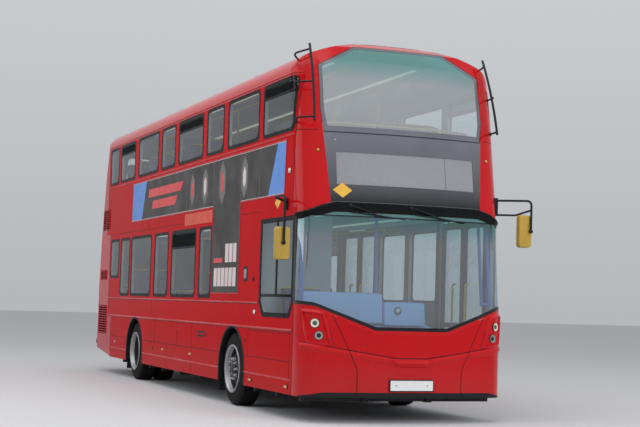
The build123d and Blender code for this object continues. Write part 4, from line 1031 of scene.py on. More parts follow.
def seat(pads, shells, x, y, floor, width=0.86, driver=False):
    put(pads, DRIVER_CUSHION if driver else CUSHION, (x, y + 0.145, floor + 0.415), 4)
    put(pads, DRIVER_BACK if driver else BACK, (x, y + 0.405, floor + 0.79), 82)
    half = width / 2
    shells.box((x - half, y - 0.07, floor + 0.385), (x + half, y + 0.36, floor + 0.418), 0.012, 0)
    tilt = Matrix.Rotation(math.radians(-8), 3, "X")
    shells.box((x - half, y + 0.405, floor + 0.46), (x + half, y + 0.435, floor + 1.085), 0.013, 0, tilt)
    shells.tube([(x - half + 0.03, y + 0.475, floor + 1.07), (x - half + 0.05, y + 0.485, floor + 1.093),
                 (x + half - 0.05, y + 0.485, floor + 1.093), (x + half - 0.03, y + 0.475,
                                                               floor + 1.07)], 0.012, 12, 1)
    for dx in (-0.24, 0.24) if not driver else (-0.12, 0.12):
        shells.box((x + dx - 0.02, y + 0.09, floor), (x + dx + 0.02, y + 0.14, floor + 0.39), 0.006, 2)
        shells.box((x + dx - 0.02, y + 0.25, floor), (x + dx + 0.02, y + 0.29, floor + 0.39), 0.006, 2)
    shells.box((x - 0.3 if not driver else x - 0.18, y + 0.07, floor),
               (x + 0.3 if not driver else x + 0.18, y + 0.31, floor + 0.02), 0.005, 2)


UPPER_FLOOR_Z = 2.52
FLOOR_Z = 0.34
REAR_FLOOR_Z = 0.70
upper_pads, upper_shells = Shape(), Shape()
for row in range(11):
    distance = -1.35 + row * 0.76
    for side in (-1, 1):
        if side < 0 and -1.4 < distance < 1.15:
            continue
        seat(upper_pads, upper_shells, side * SEAT_X, aft(distance), UPPER_FLOOR_Z)
lower_pads, lower_shells = Shape(), Shape()
for distance, floor, sides in ((1.35, FLOOR_Z, (-1,)), (2.13, FLOOR_Z, (-1,)), (2.91, FLOOR_Z, (-1, 1)),
                               (5.95, REAR_FLOOR_Z, (-1, 1))):
    for side in sides:
        seat(lower_pads, lower_shells, side * SEAT_X, aft(distance), floor)
seat(lower_pads, lower_shells, -0.76, aft(-1.56), FLOOR_Z + 0.06, 0.48, True)
upper_cushions = piece("seat_pads_upper", upper_pads, ROOT, [moquette], ["seats_upper"], 60)
lower_cushions = piece("seat_pads_lower", lower_pads, ROOT, [moquette], ["seats_lower"], 60)
piece("seat_frames_upper", upper_shells, ROOT, [vinyl, pole_yellow, dark_steel])
piece("seat_frames_lower", lower_shells, ROOT, [vinyl, pole_yellow, dark_steel])


# Poles with flanges and bell pushes
def bend(points, radius=0.06, steps=6):
    """Straight runs joined by round corners."""
    points = [Vector(p) for p in points]
    path = [points[0]]
    for before, corner, after in zip(points, points[1:], points[2:]):
        start = corner + (before - corner).normalized() * min(radius, (before - corner).length / 2)
        end = corner + (after - corner).normalized() * min(radius, (after - corner).length / 2)
        for k in range(steps + 1):
            t = k / steps
            path.append(start * (1 - t) ** 2 + corner * (2 * t * (1 - t)) + end * t * t)
    path.append(points[-1])
    return path


poles = Shape()
DECK_UNDERSIDE_Z = 2.41
POLES = (
    (-0.33, -0.5, FLOOR_Z), (0.33, 0.7, FLOOR_Z), (0.33, 2.7, FLOOR_Z), (-0.22, 2.7, FLOOR_Z), (-0.22, 3.95,
                                                                                                FLOOR_Z),
    (0.22, 5.85, REAR_FLOOR_Z),
)
for x, distance, foot in POLES:
    y = aft(distance)
    poles.tube([(x, y, foot), (x, y, between(foot, DECK_UNDERSIDE_Z, 0.5)), (x, y, DECK_UNDERSIDE_Z)],
               0.017, 20, 0)
    for z, rise in ((foot, 1), (DECK_UNDERSIDE_Z, -1)):
        poles.lathe([(0, 0.045), (0.006, 0.045), (0.012, 0.024), (0.05, 0.021), (0.052, 0.017)], (x, y, z),
                    (0, 0, rise), 24, 1)
    poles.box((x - 0.022, y - 0.045, 1.42), (x + 0.022, y - 0.012, 1.52), 0.006, 1)
    poles.lathe([(0, 0.014), (0.006, 0.013), (0.009, 0.004)], (x, y - 0.044, 1.47), (0, -1, 0), 18, 2)
piece("stanchions", poles, ROOT, [pole_yellow, plastic, lamp_red], ["grab_poles"])


# Mirrors
def mirror(side, low, high):
    x = side * 1.51
    y = aft(-2.5)
    work = bmesh.new()
    bmesh.ops.create_cube(work, size=1.0)
    for v in work.verts:
        v.co = Vector((v.co.x * 0.176, v.co.y * 0.064, v.co.z * (high - low - 0.004)))
    upright = [e for e in work.edges if abs(e.verts[0].co.y - e.verts[1].co.y) > 0.01]
    bmesh.ops.bevel(work, geom=upright, offset=0.038, segments=6, affect="EDGES", profile=0.5)
    front = [e for e in work.edges if all(v.co.y < -0.02 for v in e.verts)]
    bmesh.ops.bevel(work, geom=front, offset=0.016, segments=4, affect="EDGES", profile=0.5)
    for v in work.verts:
        if v.co.y < 0:
            v.co.x *= 0.95
            v.co.z *= 0.97
        v.co += Vector((x, y, (low + high) / 2))
    heads.add_mesh(work, 0)
    outer = rounded_loop(-0.083, 0.083, low + 0.006, high - 0.006, 0.034)
    inner = rounded_loop(-0.073, 0.073, low + 0.016, high - 0.016, 0.026)
    back = y + 0.032
    heads.ring([(x + a, back, z) for a, z in outer], [(x + a, back, z) for a, z in inner], (0, 0.004, 0), 1)
    heads.prism([(x + a, back - 0.001, z) for a, z in inner], (0, 0.002, 0), 2)
    heads.box((x - 0.07, back + 0.0005, low + 0.11), (x + 0.07, back + 0.003, low + 0.114), 0, 1)


heads = Shape()
mirror(-1, 1.78, 2.15)
mirror(1, 2.035, 2.425)
piece("mirrors", heads, ROOT, [yellow_paint, rubber, mirror_face], ["mirror_heads"])

arms = Shape()
front_y = aft(-2.5) - 0.035 - 0.016
arms.tube(bend([(-1.25, aft(-1.94), 2.46), (-1.51, aft(-2.2), 2.49), (-1.51, front_y, 2.49),
                (-1.51, front_y, 1.97)]), 0.014)
arms.lathe([(-0.024, 0.001), (-0.02, 0.012), (-0.008, 0.023), (0.008, 0.023), (0.03, 0.018)],
           (-1.51, front_y, 1.97), (0, 1, 0), 20)
arms.tube(bend([(1.20, aft(-2.3), 2.59), (1.57, front_y, 2.59), (1.57, front_y, 2.23)]), 0.013)
arms.tube([(1.21, aft(-2.3), 2.42), (1.43, aft(-2.42), 2.42), (1.57, front_y, 2.48)], 0.012)
arms.lathe([(-0.024, 0.001), (-0.02, 0.012), (-0.008, 0.023), (0.008, 0.023), (0.03, 0.018)],
           (1.57, front_y, 2.23), (0, 1, 0), 20)
arms.box((-1.285, aft(-1.97), 2.37), (-1.255, aft(-1.90), 2.51), 0.006)
arms.box((1.17, aft(-2.34), 2.42), (1.245, aft(-2.26), 2.62), 0.01)
piece("mirror_tubes", arms, ROOT, [plastic], ["mirror_arms"])


# Branch deflectors on the upper corners
GUARD_LOW = Vector((1.154, aft(-2.443), 3.355))
GUARD_HIGH = Vector((1.112, aft(-2.11), 4.282))
GUARD_ARMS = {
    -1: (
        (0.05, (1.33, -2.33, 0.01), (1.235, -2.05, 0.04)),
        (0.50, (1.32, -2.2, 0.01), (1.235, -2.06, 0.04)),
        (0.93, (1.29, -2.06, 0.06), (1.15, -1.96, 0.15)),
    ),
    1: (
        (0.05, (1.20, -2.36, 0.0), (1.176, -2.215, 0.015)),
        (0.50, (1.20, -2.26, 0.0), (1.176, -2.115, 0.015)),
        (0.93, (1.13, -2.09, 0.02), (1.09, -1.985, 0.06)),
    ),
}


def guard_point(share):
    point = GUARD_LOW.lerp(GUARD_HIGH, share)
    point.y -= 0.04 * 4 * share * (1 - share)
    return point


guards = Shape()
for side in (-1, 1):
    def facing(p):
        return Vector((side * p[0], p[1], p[2]))

    guards.tube([facing(guard_point(k / 16)) for k in range(17)], 0.014, 16)
    for share, elbow, end in GUARD_ARMS[side]:
        start = guard_point(share)
        run = [start] + [Vector((x, aft(y), start.z - drop)) for x, y, drop in (elbow, end)]
        path = [facing(p) for p in bend(run, 0.06, 8)]
        guards.tube(path, 0.011, 14)
        guards.lathe([(-0.004, 0.026), (0.004, 0.026), (0.008, 0.014)], path[-1], path[-2] - path[-1], 18)
piece("branch_deflectors", guards, ROOT, [plastic], ["tree_guards"])


# Wipers
wipers = Shape()
for pivot, outer, inner in (((-0.72, 2.42), (-0.72, 2.345), (-0.08, 2.285)),
                            ((0.0, 2.42), (0.06, 2.345), (0.70, 2.285))):
    middle = ((outer[0] + inner[0]) / 2, (outer[1] + inner[1]) / 2)
    wipers.lathe([(0.0, 0.026), (0.022, 0.024), (0.036, 0.016), (0.04, 0.003)], nose(*pivot),
                 (0, -1, -0.15), 20)
    arm = [nose(*pivot, 0.03), nose(between(pivot[0], middle[0], 0.4), between(pivot[1], middle[1], 0.4),
                                    0.034), nose(*middle, 0.026)]
    wipers.tube(arm, [0.011, 0.008, 0.006], 10)
    spine = [nose(between(outer[0], inner[0], k / 10), between(outer[1], inner[1], k / 10),
                  0.018) for k in range(11)]
    wipers.tube(spine, 0.006, 8)
    lip = [nose(between(outer[0], inner[0], k / 10), between(outer[1], inner[1], k / 10),
                0.007) for k in range(11)]
    wipers.tube(lip, 0.0045, 6, 1)
    wipers.box(Vector(nose(*middle, 0.02)) - Vector((0.04, 0.008, 0.008)),
               Vector(nose(*middle, 0.02)) + Vector((0.04, 0.008, 0.008)), 0.003)
piece("wiper_set", wipers, ROOT, [plastic, rubber], ["wipers"])


# Lamps
def lamp(shape, x, z, size, ring, heart):
    point, normal = skin(NOSE_LINE, s_of_x(NOSE_LINE, x), z)
    shape.lathe([(-0.03, size), (0.004, size), (0.009, size * 0.96), (0.009, size * 0.9)], point, normal,
                40, 0)
    shape.lathe([(0.009, size * 0.9), (0.007, size * 0.78), (0.004, size * 0.56), (0.003, size * 0.50)],
                point, normal, 40, ring)
    shape.lathe([(0.003, size * 0.50), (0.007, size * 0.46), (0.014, size * 0.34), (0.018, size * 0.16),
                 (0.019, 0.001)], point, normal, 32, heart)


front_lamps = Shape()
for side in (-1, 1):
    lamp(front_lamps, side * 1.118, 1.10, 0.052, 1, 2)
    lamp(front_lamps, side * 1.075, 0.965, 0.050, 3, 4)
front_finishes = [plastic, lamp_cream, lamp_core, steel, black_glass]
piece("front_lamp_units", front_lamps, ROOT, front_finishes, ["headlamps"])

rear_lamps = Shape()
for side in (-1, 1):
    for z, colour in ((1.0, 1), (1.13, 1), (1.26, 2), (1.39, 1)):
        line = TAIL_LINE
        point, normal = skin(line, s_of_x(line, side * 1.09), z)
        rear_lamps.lathe([(-0.03, 0.054), (0.004, 0.054), (0.008, 0.051), (0.008, 0.046)], point, normal,
                         40, 0)
        rear_lamps.lathe([(0.004, 0.0465), (0.009, 0.044), (0.016, 0.03), (0.018, 0.001)], point, normal,
                         40, colour)
        rear_lamps.lathe([(0.0165, 0.030), (0.0185, 0.029), (0.0185, 0.026), (0.0175, 0.025)], point,
                         normal, 40, colour)
piece("rear_lamp_units", rear_lamps, ROOT, [plastic, lamp_red, lamp_amber], ["tail_lamps"])


# Nose: bands that follow the outer surface
def swept(shape, stations_sz, profile, slot=0, line=None):
    """profile holds (height step, lift); each station is (s, z) on the outer surface."""
    line = line or NOSE_LINE
    rows = []
    for s, z in stations_sz:
        rows.append([skin(line, s, z + step, lift)[0] for step, lift in profile])
    shape.grid(rows, slot, close_columns=True)
    count = len(profile)
    total = len(shape.points)
    first = total - count * len(rows)
    shape.faces += [tuple(first + k for k in range(count)),
                    tuple(total - count + k for k in reversed(range(count)))]
    shape.slots += [slot, slot]


def mirrored_run(points):
    return [(-x, z) for x, z in reversed(points) if x > 0] + list(points)


def nose_seam_s(z, place=-2.24):
    return s_of_y(NOSE_LINE, aft(place) - lean(z, 1))


def skin_ring(shape, outer, inner, slot=0, lift=0.0016, line=None, sink=0.003, middle=()):
    """A thin flush band between two outlines on the surface, each a list of (s, z)."""
    line = line or NOSE_LINE
    rows = [[skin(line, s, z, -sink)[0] for s, z in outer], [skin(line, s, z, lift)[0] for s, z in outer]]
    for share in middle:
        rows.append([skin(line, between(a, c, share), between(b, d, share), lift)[0] for (a, b),
                     (c, d) in zip(outer, inner)])
    rows += [[skin(line, s, z, lift)[0] for s, z in inner], [skin(line, s, z, -sink)[0] for s, z in inner]]
    shape.grid(rows, slot, close_rows=True, close_columns=True)


def runs(points, counts):
    """Points along the closed outline through the given corners, counts per run."""
    found = []
    for index, count in enumerate(counts):
        a, b = points[index], points[(index + 1) % len(points)]
        found += [(between(a[0], b[0], k / count), between(a[1], b[1], k / count)) for k in range(count)]
    return found


def edge_height(line, x):
    x = abs(x)
    for (x0, z0), (x1, z1) in zip(line, line[1:]):
        if x <= x1:
            return between(z0, z1, (x - x0) / (x1 - x0))
    return line[-1][1]


WINDSCREEN_EDGE = ((0, 1.01), (0.44, 1.01), (0.93, 1.19), (1.13, 1.30), (1.30, 1.32))
PANEL_SEAM = ((0.93, 1.19), (0.74, 0.81), (0.64, 0.59), (0.64, 0.29))


def x_of_s(s):
    return plan_at(NOSE_LINE, s)[0].x


def sill_rise(s):
    """How far the red sill climbs over the foot of the windscreen."""
    return edge_height(((0, 0.034), (0.93, 0.034), (1.13, 0.0), (1.30, 0.0)), x_of_s(s))


def screen_outline(bottom, side, top):
    """The lower windscreen's outline, inset by the given distances."""
    count, upright = 60, 14
    reach_low = nose_seam_s(1.33) - side
    reach_high = nose_seam_s(2.3) - side
    low = []
    for k in range(count):
        s = between(-reach_low, reach_low, k / count)
        low.append((s, edge_height(WINDSCREEN_EDGE, x_of_s(s)) + bottom + sill_rise(s)))
    z_end = edge_height(WINDSCREEN_EDGE, 1.26) + bottom
    right = [(between(reach_low, reach_high, k / upright),
              between(z_end, top, k / upright)) for k in range(upright)]
    high = [(between(reach_high, -reach_high, k / count), top) for k in range(count)]
    left = [(between(-reach_high, -reach_low, k / upright),
             between(top, z_end, k / upright)) for k in range(upright)]
    return low + right + high + left


borders = Shape()
skin_ring(borders, screen_outline(-0.012, 0.0, 2.306), screen_outline(0.028, 0.030, 2.292), lift=0.0036,
          middle=(0.5,))
sill = []
for k in range(81):
    s = between(-1.0, 1.0, k / 80) * (nose_seam_s(1.33) - 0.01)
    z = edge_height(WINDSCREEN_EDGE, x_of_s(s))
    corners = ((z - 0.022, -0.003), (z - 0.022, 0.0024), (z + sill_rise(s) - 0.008, 0.0024),
               (z + sill_rise(s) - 0.008, -0.003))
    sill.append([skin(NOSE_LINE, s, height, lift)[0] for height, lift in corners])
borders.grid(sill, 3, close_columns=True)
CROWN = ((0.983, 3.262), (1.016, 3.5), (1.011, 4.042), (0.562, 4.288))
CROWN_INNER = ((0.945, 3.325), (0.976, 3.5), (0.972, 4.024), (0.550, 4.266))
CROWN_SEAM = ((0.987, 3.252), (1.021, 3.5), (1.016, 4.048), (0.567, 4.296))


def crown_outline(table):
    right = [table[0], table[1], table[2], table[3]]
    corners = right + [(-x, z) for x, z in reversed(right)]
    return [(s_of_x(NOSE_LINE, x), z) for x, z in runs(corners, (6, 12, 12, 24, 12, 12, 6, 36))]


# The crown border takes the panel glass, whose pale grey at this height is painted reflection
skin_ring(borders, crown_outline(CROWN), crown_outline(CROWN_INNER), 2, lift=0.0032, middle=(0.5,))
skin_ring(borders, crown_outline(CROWN_SEAM), crown_outline(CROWN), 0, lift=0.0036)
for side in (-1, 1):
    spots = [(side * nose_seam_s(z), z) for z in (1.32, 1.6, 1.9, 2.3)]
    strip(borders, wrap_spots(spots), 0.014, 0.002)
    spots = [(side * nose_seam_s(z, -2.213), z) for z in (1.33, 1.6, 1.9, 2.2, 2.32)]
    strip(borders, wrap_spots(spots), 0.052, 0.0035)
shade_low, shade_high = [], []
for k in range(61):
    s = between(-1.0, 1.0, k / 60) * (nose_seam_s(2.3) - 0.02)
    shade_low.append((s, 2.296))
    shade_high.append((s, max(2.30, min(2.362, edge_height(((0, 2.362), (1.02, 2.362), (1.25, 2.302)),
                                                           x_of_s(s))))))
shade_loops = ((shade_low, -0.003), (shade_low, 0.0034), (shade_high, 0.0034), (shade_high, -0.003))
rows = [[skin(NOSE_LINE, s, z, lift)[0] for s, z in spots] for spots, lift in shade_loops]
borders.grid(rows, 1)
piece("windscreen_borders", borders, ROOT, [black_glass, shade_band, panel_glass, red_trim])

# Display behind its own pane, with a black frame and one upright between its two fields
display = Shape()
DISPLAY_Z = (2.655, 3.035)


def display_loop(s0, s1, grow, wide, tall):
    """The outline of a field of the display, grown by grow, as (s, z) on the surface."""
    low, high = DISPLAY_Z[0] - grow, DISPLAY_Z[1] + grow
    corners = ((s0 - grow, low), (s1 + grow, low), (s1 + grow, high), (s0 - grow, high))
    return runs(corners, (wide, tall, wide, tall))


half = s_of_x(NOSE_LINE, 0.865)
count = 24
for (s0, s1) in ((-half, 0.473), (0.479, half)):
    edge = display_loop(s0, s1, 0.0, count, 4)
    rows = [[skin(NOSE_LINE, s, z, lift)[0] for s, z in edge] for lift in (-0.009, -0.006)]
    stops = [between(s0, s1, k / count) for k in range(count + 1)]
    heights = [between(*DISPLAY_Z, j / 4) for j in range(5)]
    face = [[skin(NOSE_LINE, s, z, -0.006)[0] for s in stops] for z in heights]
    display.grid(face, 0)
    display.grid(rows, 0, close_columns=True)
sensor_spot = skin(NOSE_LINE, s_of_x(NOSE_LINE, -0.865), 3.165)
display.lathe([(-0.002, 0.016), (0.004, 0.015), (0.007, 0.010), (0.008, 0.001)], *sensor_spot, 24, 0)
frame_out = display_loop(-half, half, 0.012, 40, 8)
frame_in = display_loop(-half, half, -0.004, 40, 8)
# The display frame takes the panel glass and its painted reflection
skin_ring(display, frame_out, frame_in, 1, 0.0012, sink=0.008)
strip(display, front_spots([(-0.99, 3.268), (0.99, 3.268)]), 0.012, 0.0022, 1)
piece("display_screen", display, ROOT, [screen_grey, panel_glass])


def diamond(shape, spots, slot=0, lift=0.0022):
    """A flat four-cornered badge; spots are its corners as surface points with normals."""
    centre = sum((p for p, _ in spots), Vector()) / 4
    normal = sum((n for _, n in spots), Vector()).normalized()
    loop = []
    for index in range(4):
        a, b = spots[index][0], spots[(index + 1) % 4][0]
        before = spots[index - 1][0]
        for share in (0.06, 0.02):
            loop.append(a.lerp(before, share))
        for share in (0.02, 0.06):
            loop.append(a.lerp(b, share))
    flat = [p - normal * ((p - centre).dot(normal)) + normal * 0.0005 for p in loop]
    shape.prism(flat, normal * lift, slot)


badges = Shape()
diamond(badges, [skin(NOSE_LINE, s_of_x(NOSE_LINE, x), z) for x,
                 z in ((-0.91, 2.59), (-0.80, 2.505), (-0.69, 2.59), (-0.80, 2.675))])
diamond(badges, [(Vector((-HALF_WIDTH, aft(y), z)), Vector((-1, 0, 0))) for y,
                 z in ((-1.51, 2.475), (-1.61, 2.405), (-1.71, 2.475), (-1.61, 2.545))], lift=0.003)
piece("plain_badges", badges, ROOT, [mark_yellow])

# Ledge over the windscreen
valance = Shape()
LEDGE = ((0, 2.452), (0.90, 2.452), (1.06, 2.405), (1.22, 2.335), (1.262, 2.325))
ledge_run = []
for k in range(81):
    s = between(-1.0, 1.0, k / 80) * nose_seam_s(2.32)
    ledge_run.append((s, edge_height(LEDGE, x_of_s(s))))
swept(valance, ledge_run, ((0.006, -0.004), (0.006, 0.006), (0.0, 0.022), (-0.014, 0.027), (-0.03, 0.022),
                           (-0.05, 0.010), (-0.075, 0.004), (-0.075, -0.006)), 0)
low_run = [(s, max(2.30, z - 0.10)) for s, z in ledge_run if abs(s) < 1.15]
swept(valance, low_run, ((0.05, -0.004), (0.05, 0.003), (0.03, 0.006), (0.008, 0.010), (-0.006, 0.010),
                         (-0.010, 0.003), (-0.010, -0.004)), 0)
# A grey strip along the top edge of the ledge: a painted highlight
edge_run = [(s, z + 0.004) for s, z in ledge_run if abs(s) < 1.02]
strip(valance, wrap_spots(edge_run, 1.0), 0.012, 0.0045, 1)
piece("windscreen_ledge", valance, ROOT, [black_gloss, ledge_painted_highlight])

# Crease, panel joints and the edge of the bumper
joints = Shape()
lips = Shape()
CREASE_LINE = ((0.19, 0.728), (0.74, 0.81), (1.24, 0.89))
crease_run = [(s_of_x(NOSE_LINE, x), z) for x, z in stations(mirrored_run(CREASE_LINE), 0.03)]
swept(joints, crease_run, ((0.005, -0.003), (0.005, 0.002), (-0.006, 0.002), (-0.006, -0.003)))
swell = ((-0.004, -0.004), (-0.005, 0.001), (-0.022, 0.014), (-0.034, 0.017), (-0.050, 0.015),
         (-0.085, 0.0025), (-0.10, -0.004))
swept(lips, crease_run, swell, 0)
for side in (-1, 1):
    path = [(side * x, z) for x, z in PANEL_SEAM]
    spots = []
    for x, z in stations(path, 0.02):
        point, normal = skin(NOSE_LINE, s_of_x(NOSE_LINE, x), z)
        crease = edge_height(CREASE_LINE, x)
        depth = crease - z
        rise = 0.0
        for (h0, l0), (h1, l1) in zip(swell[1:-1], swell[2:]):
            if -h0 <= depth <= -h1:
                rise = between(l0, l1, (depth + h0) / (h0 - h1))
        spots.append((point + normal * rise, normal))
    strip(joints, spots, 0.008, 0.0022)
    strip(joints, front_spots([(side * 1.03, 1.235), (side * 0.895, 0.845)], 0.02), 0.006, 0.002)
    strip(joints, wrap_spots([(side * nose_seam_s(0.3), 0.30), (side * nose_seam_s(1.18), 1.18),
                              (side * nose_seam_s(1.31), 1.31)]), 0.007, 0.002)
    strip(joints, [side_point(side, aft(-2.12), between(2.33, 3.91, k / 24)) for k in range(25)], 0.006,
          0.0018)
    start, end = s_of_x(NOSE_LINE, 1.005), nose_seam_s(3.275, -2.12)
    strip(joints, [skin(NOSE_LINE, side * between(start, end, k / 14), 3.275) for k in range(15)], 0.006,
          0.0018)
    pod = [(1.225, 1.225), (1.045, 1.195), (0.955, 0.875), (1.175, 0.905)]
    loop = [(side * s_of_x(NOSE_LINE, x), z) for x, z in runs(pod, (6, 10, 6, 10))]
    rows = []
    centre = (side * s_of_x(NOSE_LINE, 1.10), 1.05)
    for inset, lift in ((-0.045, -0.003), (-0.040, 0.001), (-0.020, 0.011), (-0.006, 0.018), (0.002, 0.017),
                        (0.011, 0.002), (0.012, -0.003)):
        row = []
        for s, z in loop:
            d = Vector((centre[0] - s, centre[1] - z))
            d = d.normalized() * inset
            row.append(skin(NOSE_LINE, s + d.x, z + d.y, lift)[0])
        rows.append(row)
    lips.grid(rows, 0, close_rows=True, close_columns=True)
# a flat-bottomed lip in the middle, lit along its top, with slanting ends
lip_rows = []
for reach, z, lift in ((0.222, 0.712, 0.004), (0.214, 0.704, 0.012), (0.200, 0.686, 0.030),
                       (0.190, 0.674, 0.034), (0.172, 0.650, 0.026), (0.166, 0.628, -0.002)):
    lip_rows.append([skin(NOSE_LINE, s_of_x(NOSE_LINE, between(-reach, reach, k / 12)), z,
                          lift)[0] for k in range(13)])
lips.grid(lip_rows)
for end in (0, -1):
    lips.add([row[end] for row in lip_rows], [tuple(range(len(lip_rows)))])
for side in (-1, 1):
    slant = [skin(NOSE_LINE, s_of_x(NOSE_LINE, side * x), z) for x,
             z in ((0.240, 0.722), (0.205, 0.688), (0.168, 0.640))]
    strip(lips, slant, 0.018, 0.022)
piece("nose_joints", joints, ROOT, [seam_dark])
piece("nose_lips", lips, ROOT, [red_trim])
# A black band along the foot of the nose: a real black lip at the very bottom, and painted shadow where it
# covers the red up to about 0.35, standing for the shade under the body
lip_and_painted_shadow_hem = Shape()
hem = [s_of_x(NOSE_LINE, between(-1.235, 1.235, k / 60)) for k in range(61)]
hem = [-nose_seam_s(0.3)] + hem + [nose_seam_s(0.3)]
hem_rows = []
for s in hem:
    top = edge_height(((0, 0.350), (1.02, 0.346), (1.25, 0.300)), x_of_s(s))
    corners = ((top, -0.004), (top - 0.003, 0.004), (0.290, 0.006), (0.286, 0.004), (0.286, -0.004))
    hem_rows.append([skin(NOSE_LINE, s, z, lift)[0] for z, lift in corners])
lip_and_painted_shadow_hem.grid(hem_rows, 0, close_columns=True)
lip_and_painted_shadow_hem.add(hem_rows[0], [(0, 1, 2, 3, 4)])
lip_and_painted_shadow_hem.add(hem_rows[-1], [(4, 3, 2, 1, 0)])
piece("bumper_lip_and_painted_shadow", lip_and_painted_shadow_hem, ROOT, [plastic])


def plate(name, y, z, facing, material):
    """A blank registration plate on a black backing, with a pressed rim and two screws."""
    shape = Shape()
    loops = []
    for half_x, half_z in ((0.272, 0.066), (0.260, 0.0555), (0.254, 0.0495)):
        loop = rounded_loop(-half_x, half_x, -half_z, half_z, 0.009, 4)
        loops.append(loop)

    def at(loop, stand):
        return [Vector((a, y + facing * stand, z + b)) for a, b in loop]

    shape.prism(at(loops[0], -0.004), (0, facing * 0.007, 0), 1)
    shape.prism(at(loops[1], 0.003), (0, facing * 0.0025, 0), 0)
    shape.ring(at(loops[1], 0.0055), at(loops[2], 0.0055), (0, facing * 0.0012, 0), 0)
    for a in (-0.19, 0.19):
        shape.lathe([(0, 0.007), (0.002, 0.006), (0.003, 0.0008)], (a, y + facing * 0.0055, z),
                    (0, facing, 0), 16, 1)
    return piece(name, shape, ROOT, [material, plastic])


plate("front_plate", NOSE_Y - 0.010, 0.428, -1, plate_white)


# Sides
def side_mesh(side):
    dark, lip, black = Shape(), Shape(), Shape()
    doors = (FRONT_DOOR, CENTRE_DOOR) if side > 0 else ()

    def spans(start, end):
        edges = [start]
        for a, b in doors:
            edges += [a - 0.02, b + 0.02]
        edges.append(end)
        return [(a, b) for a, b in zip(edges[::2], edges[1::2]) if b - a > 0.05]

    def run(shape, z, start, end, width, proud, crown=0.0, arches=False):
        for a, b in spans(start, end):
            cuts = [(a, b)]
            if arches:
                for axle in (0.0, 5.2):
                    reach = math.sqrt(max(0.0, 0.53 ** 2 - max(0.0, z - 0.472) ** 2)) + 0.01
                    parts = []
                    for c, d in cuts:
                        if c < axle - reach < d:
                            parts.append((c, axle - reach))
                        if c < axle + reach < d:
                            parts.append((axle + reach, d))
                        if not (c < axle - reach < d or c < axle + reach < d):
                            parts.append((c, d))
                    cuts = parts
            for c, d in cuts:
                if d - c > 0.03:
                    strip(shape, side_spots(side, [(c, z), (d, z)], 1.0), width, proud, 0, 0.003, crown)

    run(lip, 1.303, -0.98 if side < 0 else -0.88, 7.22, 0.020, 0.003, 0.004)
    run(dark, 1.289, -0.98 if side < 0 else -0.88, 7.22, 0.007, 0.0015)
    run(lip, 1.005, -2.2, 7.28, 0.026, 0.003, 0.007)
    run(dark, 0.989, -2.2, 7.28, 0.008, 0.0015)
    run(dark, 0.65, -2.2, 6.96, 0.007, 0.0015, arches=True)
    run(lip, 0.45, -2.2, 6.90, 0.022, 0.001, 0.006, arches=True)
    run(dark, 2.40, -0.98 if side < 0 else -0.88, 7.22, 0.006, 0.0014)
    run(lip, 3.235, -2.1, 7.46, 0.016, 0.002, 0.004)
    run(lip, 3.955, -2.1, 7.46, 0.020, 0.002, 0.005)
    run(dark, 3.945, -2.1, 7.46, 0.005, 0.0014)

    def upright(shape, d, z0, z1, width=0.006, proud=0.0016):
        strip(shape, side_spots(side, [(d, z0), (d, z1)], 1.0), width, proud)

    seams = [(3.17, 0.30, 0.64), (6.97, 0.40, 0.985), (3.9, 0.66, 0.985), (7.23, 1.02, 2.39),
             (2.0, 2.42, 3.22),
             (4.5, 2.42, 3.22), (7.48, 2.42, 3.93)]
    if side < 0:
        seams += [(1.85, 0.30, 0.99), (-0.65, 0.655, 0.985), (2.62, 0.66, 0.985), (4.18, 1.02, 1.28)]
    else:
        seams += [(0.62, 0.66, 0.985), (0.12, 1.02, 1.28)]
    for d, z0, z1 in seams:
        upright(dark, d, z0, z1)
    if side < 0:
        upright(dark, -2.15, 0.40, 0.985)
        run(dark, 0.965, -2.15, -0.65, 0.007, 0.0016)
    for d, z in ((4.0, 0.55), (2.59, 0.83), (1.14, 0.85)) + (((-0.54, 0.83),) if side < 0 else ()):
        centre = (side * HALF_WIDTH, aft(d), z)
        dark.lathe([(-0.003, 0.019), (0.003, 0.019), (0.004, 0.015), (0.003, 0.0008)], centre, (side, 0, 0),
                   24)
    if side < 0:
        for z in (0.83, 0.88):
            loop = rounded_loop(aft(1.22), aft(1.53), z - 0.014, z + 0.014, 0.012, 4)
            black.prism([(side * (HALF_WIDTH - 0.002), y, h) for y, h in loop], (side * 0.0045, 0, 0))
        loop = rounded_loop(aft(-0.55), aft(-0.41), 1.56, 1.75, 0.02, 4)
        black.prism([(side * (HALF_WIDTH - 0.002), y, h) for y, h in loop], (side * 0.006, 0, 0))
        black.box((-HALF_WIDTH - 0.0065, aft(-0.53), 1.60), (-HALF_WIDTH - 0.003, aft(-0.43), 1.71), 0.001, 1)
        black.lathe([(-0.002, 0.03), (0.006, 0.03), (0.009, 0.024), (0.006, 0.02), (0.006, 0.001)],
                    (-HALF_WIDTH, aft(-0.80), 1.59), (-1, 0, 0), 28)

    # wheel arches: a rolled black edge, then the liner behind it
    for axle in (FRONT_AXLE_Y, REAR_AXLE_Y):
        rows = []
        for radius, stand in ((0.540, -0.002), (0.540, 0.004), (0.534, 0.008), (0.516, 0.006),
                              (0.510, -0.002), (0.510, -0.056), (0.5295, -0.056)):
            row = []
            low_z = 0.30
            row.append(Vector((side * (HALF_WIDTH + stand), axle - radius, low_z)))
            for k in range(41):
                angle = math.pi * k / 40
                row.append(Vector((side * (HALF_WIDTH + stand), axle - radius * math.cos(angle),
                                   0.472 + radius * math.sin(angle))))
            row.append(Vector((side * (HALF_WIDTH + stand), axle + radius, low_z)))
            rows.append(row)
        black.grid(rows, 0, close_rows=True)
        flap_y = axle + 0.585
        inner, outer = side * 0.94, side * 1.225
        black.box((inner, flap_y, 0.15), (outer, flap_y + 0.008, 0.46), 0.003, 0)
        black.box((inner, flap_y - 0.004, 0.43), (outer, flap_y + 0.014, 0.46), 0.003, 0)

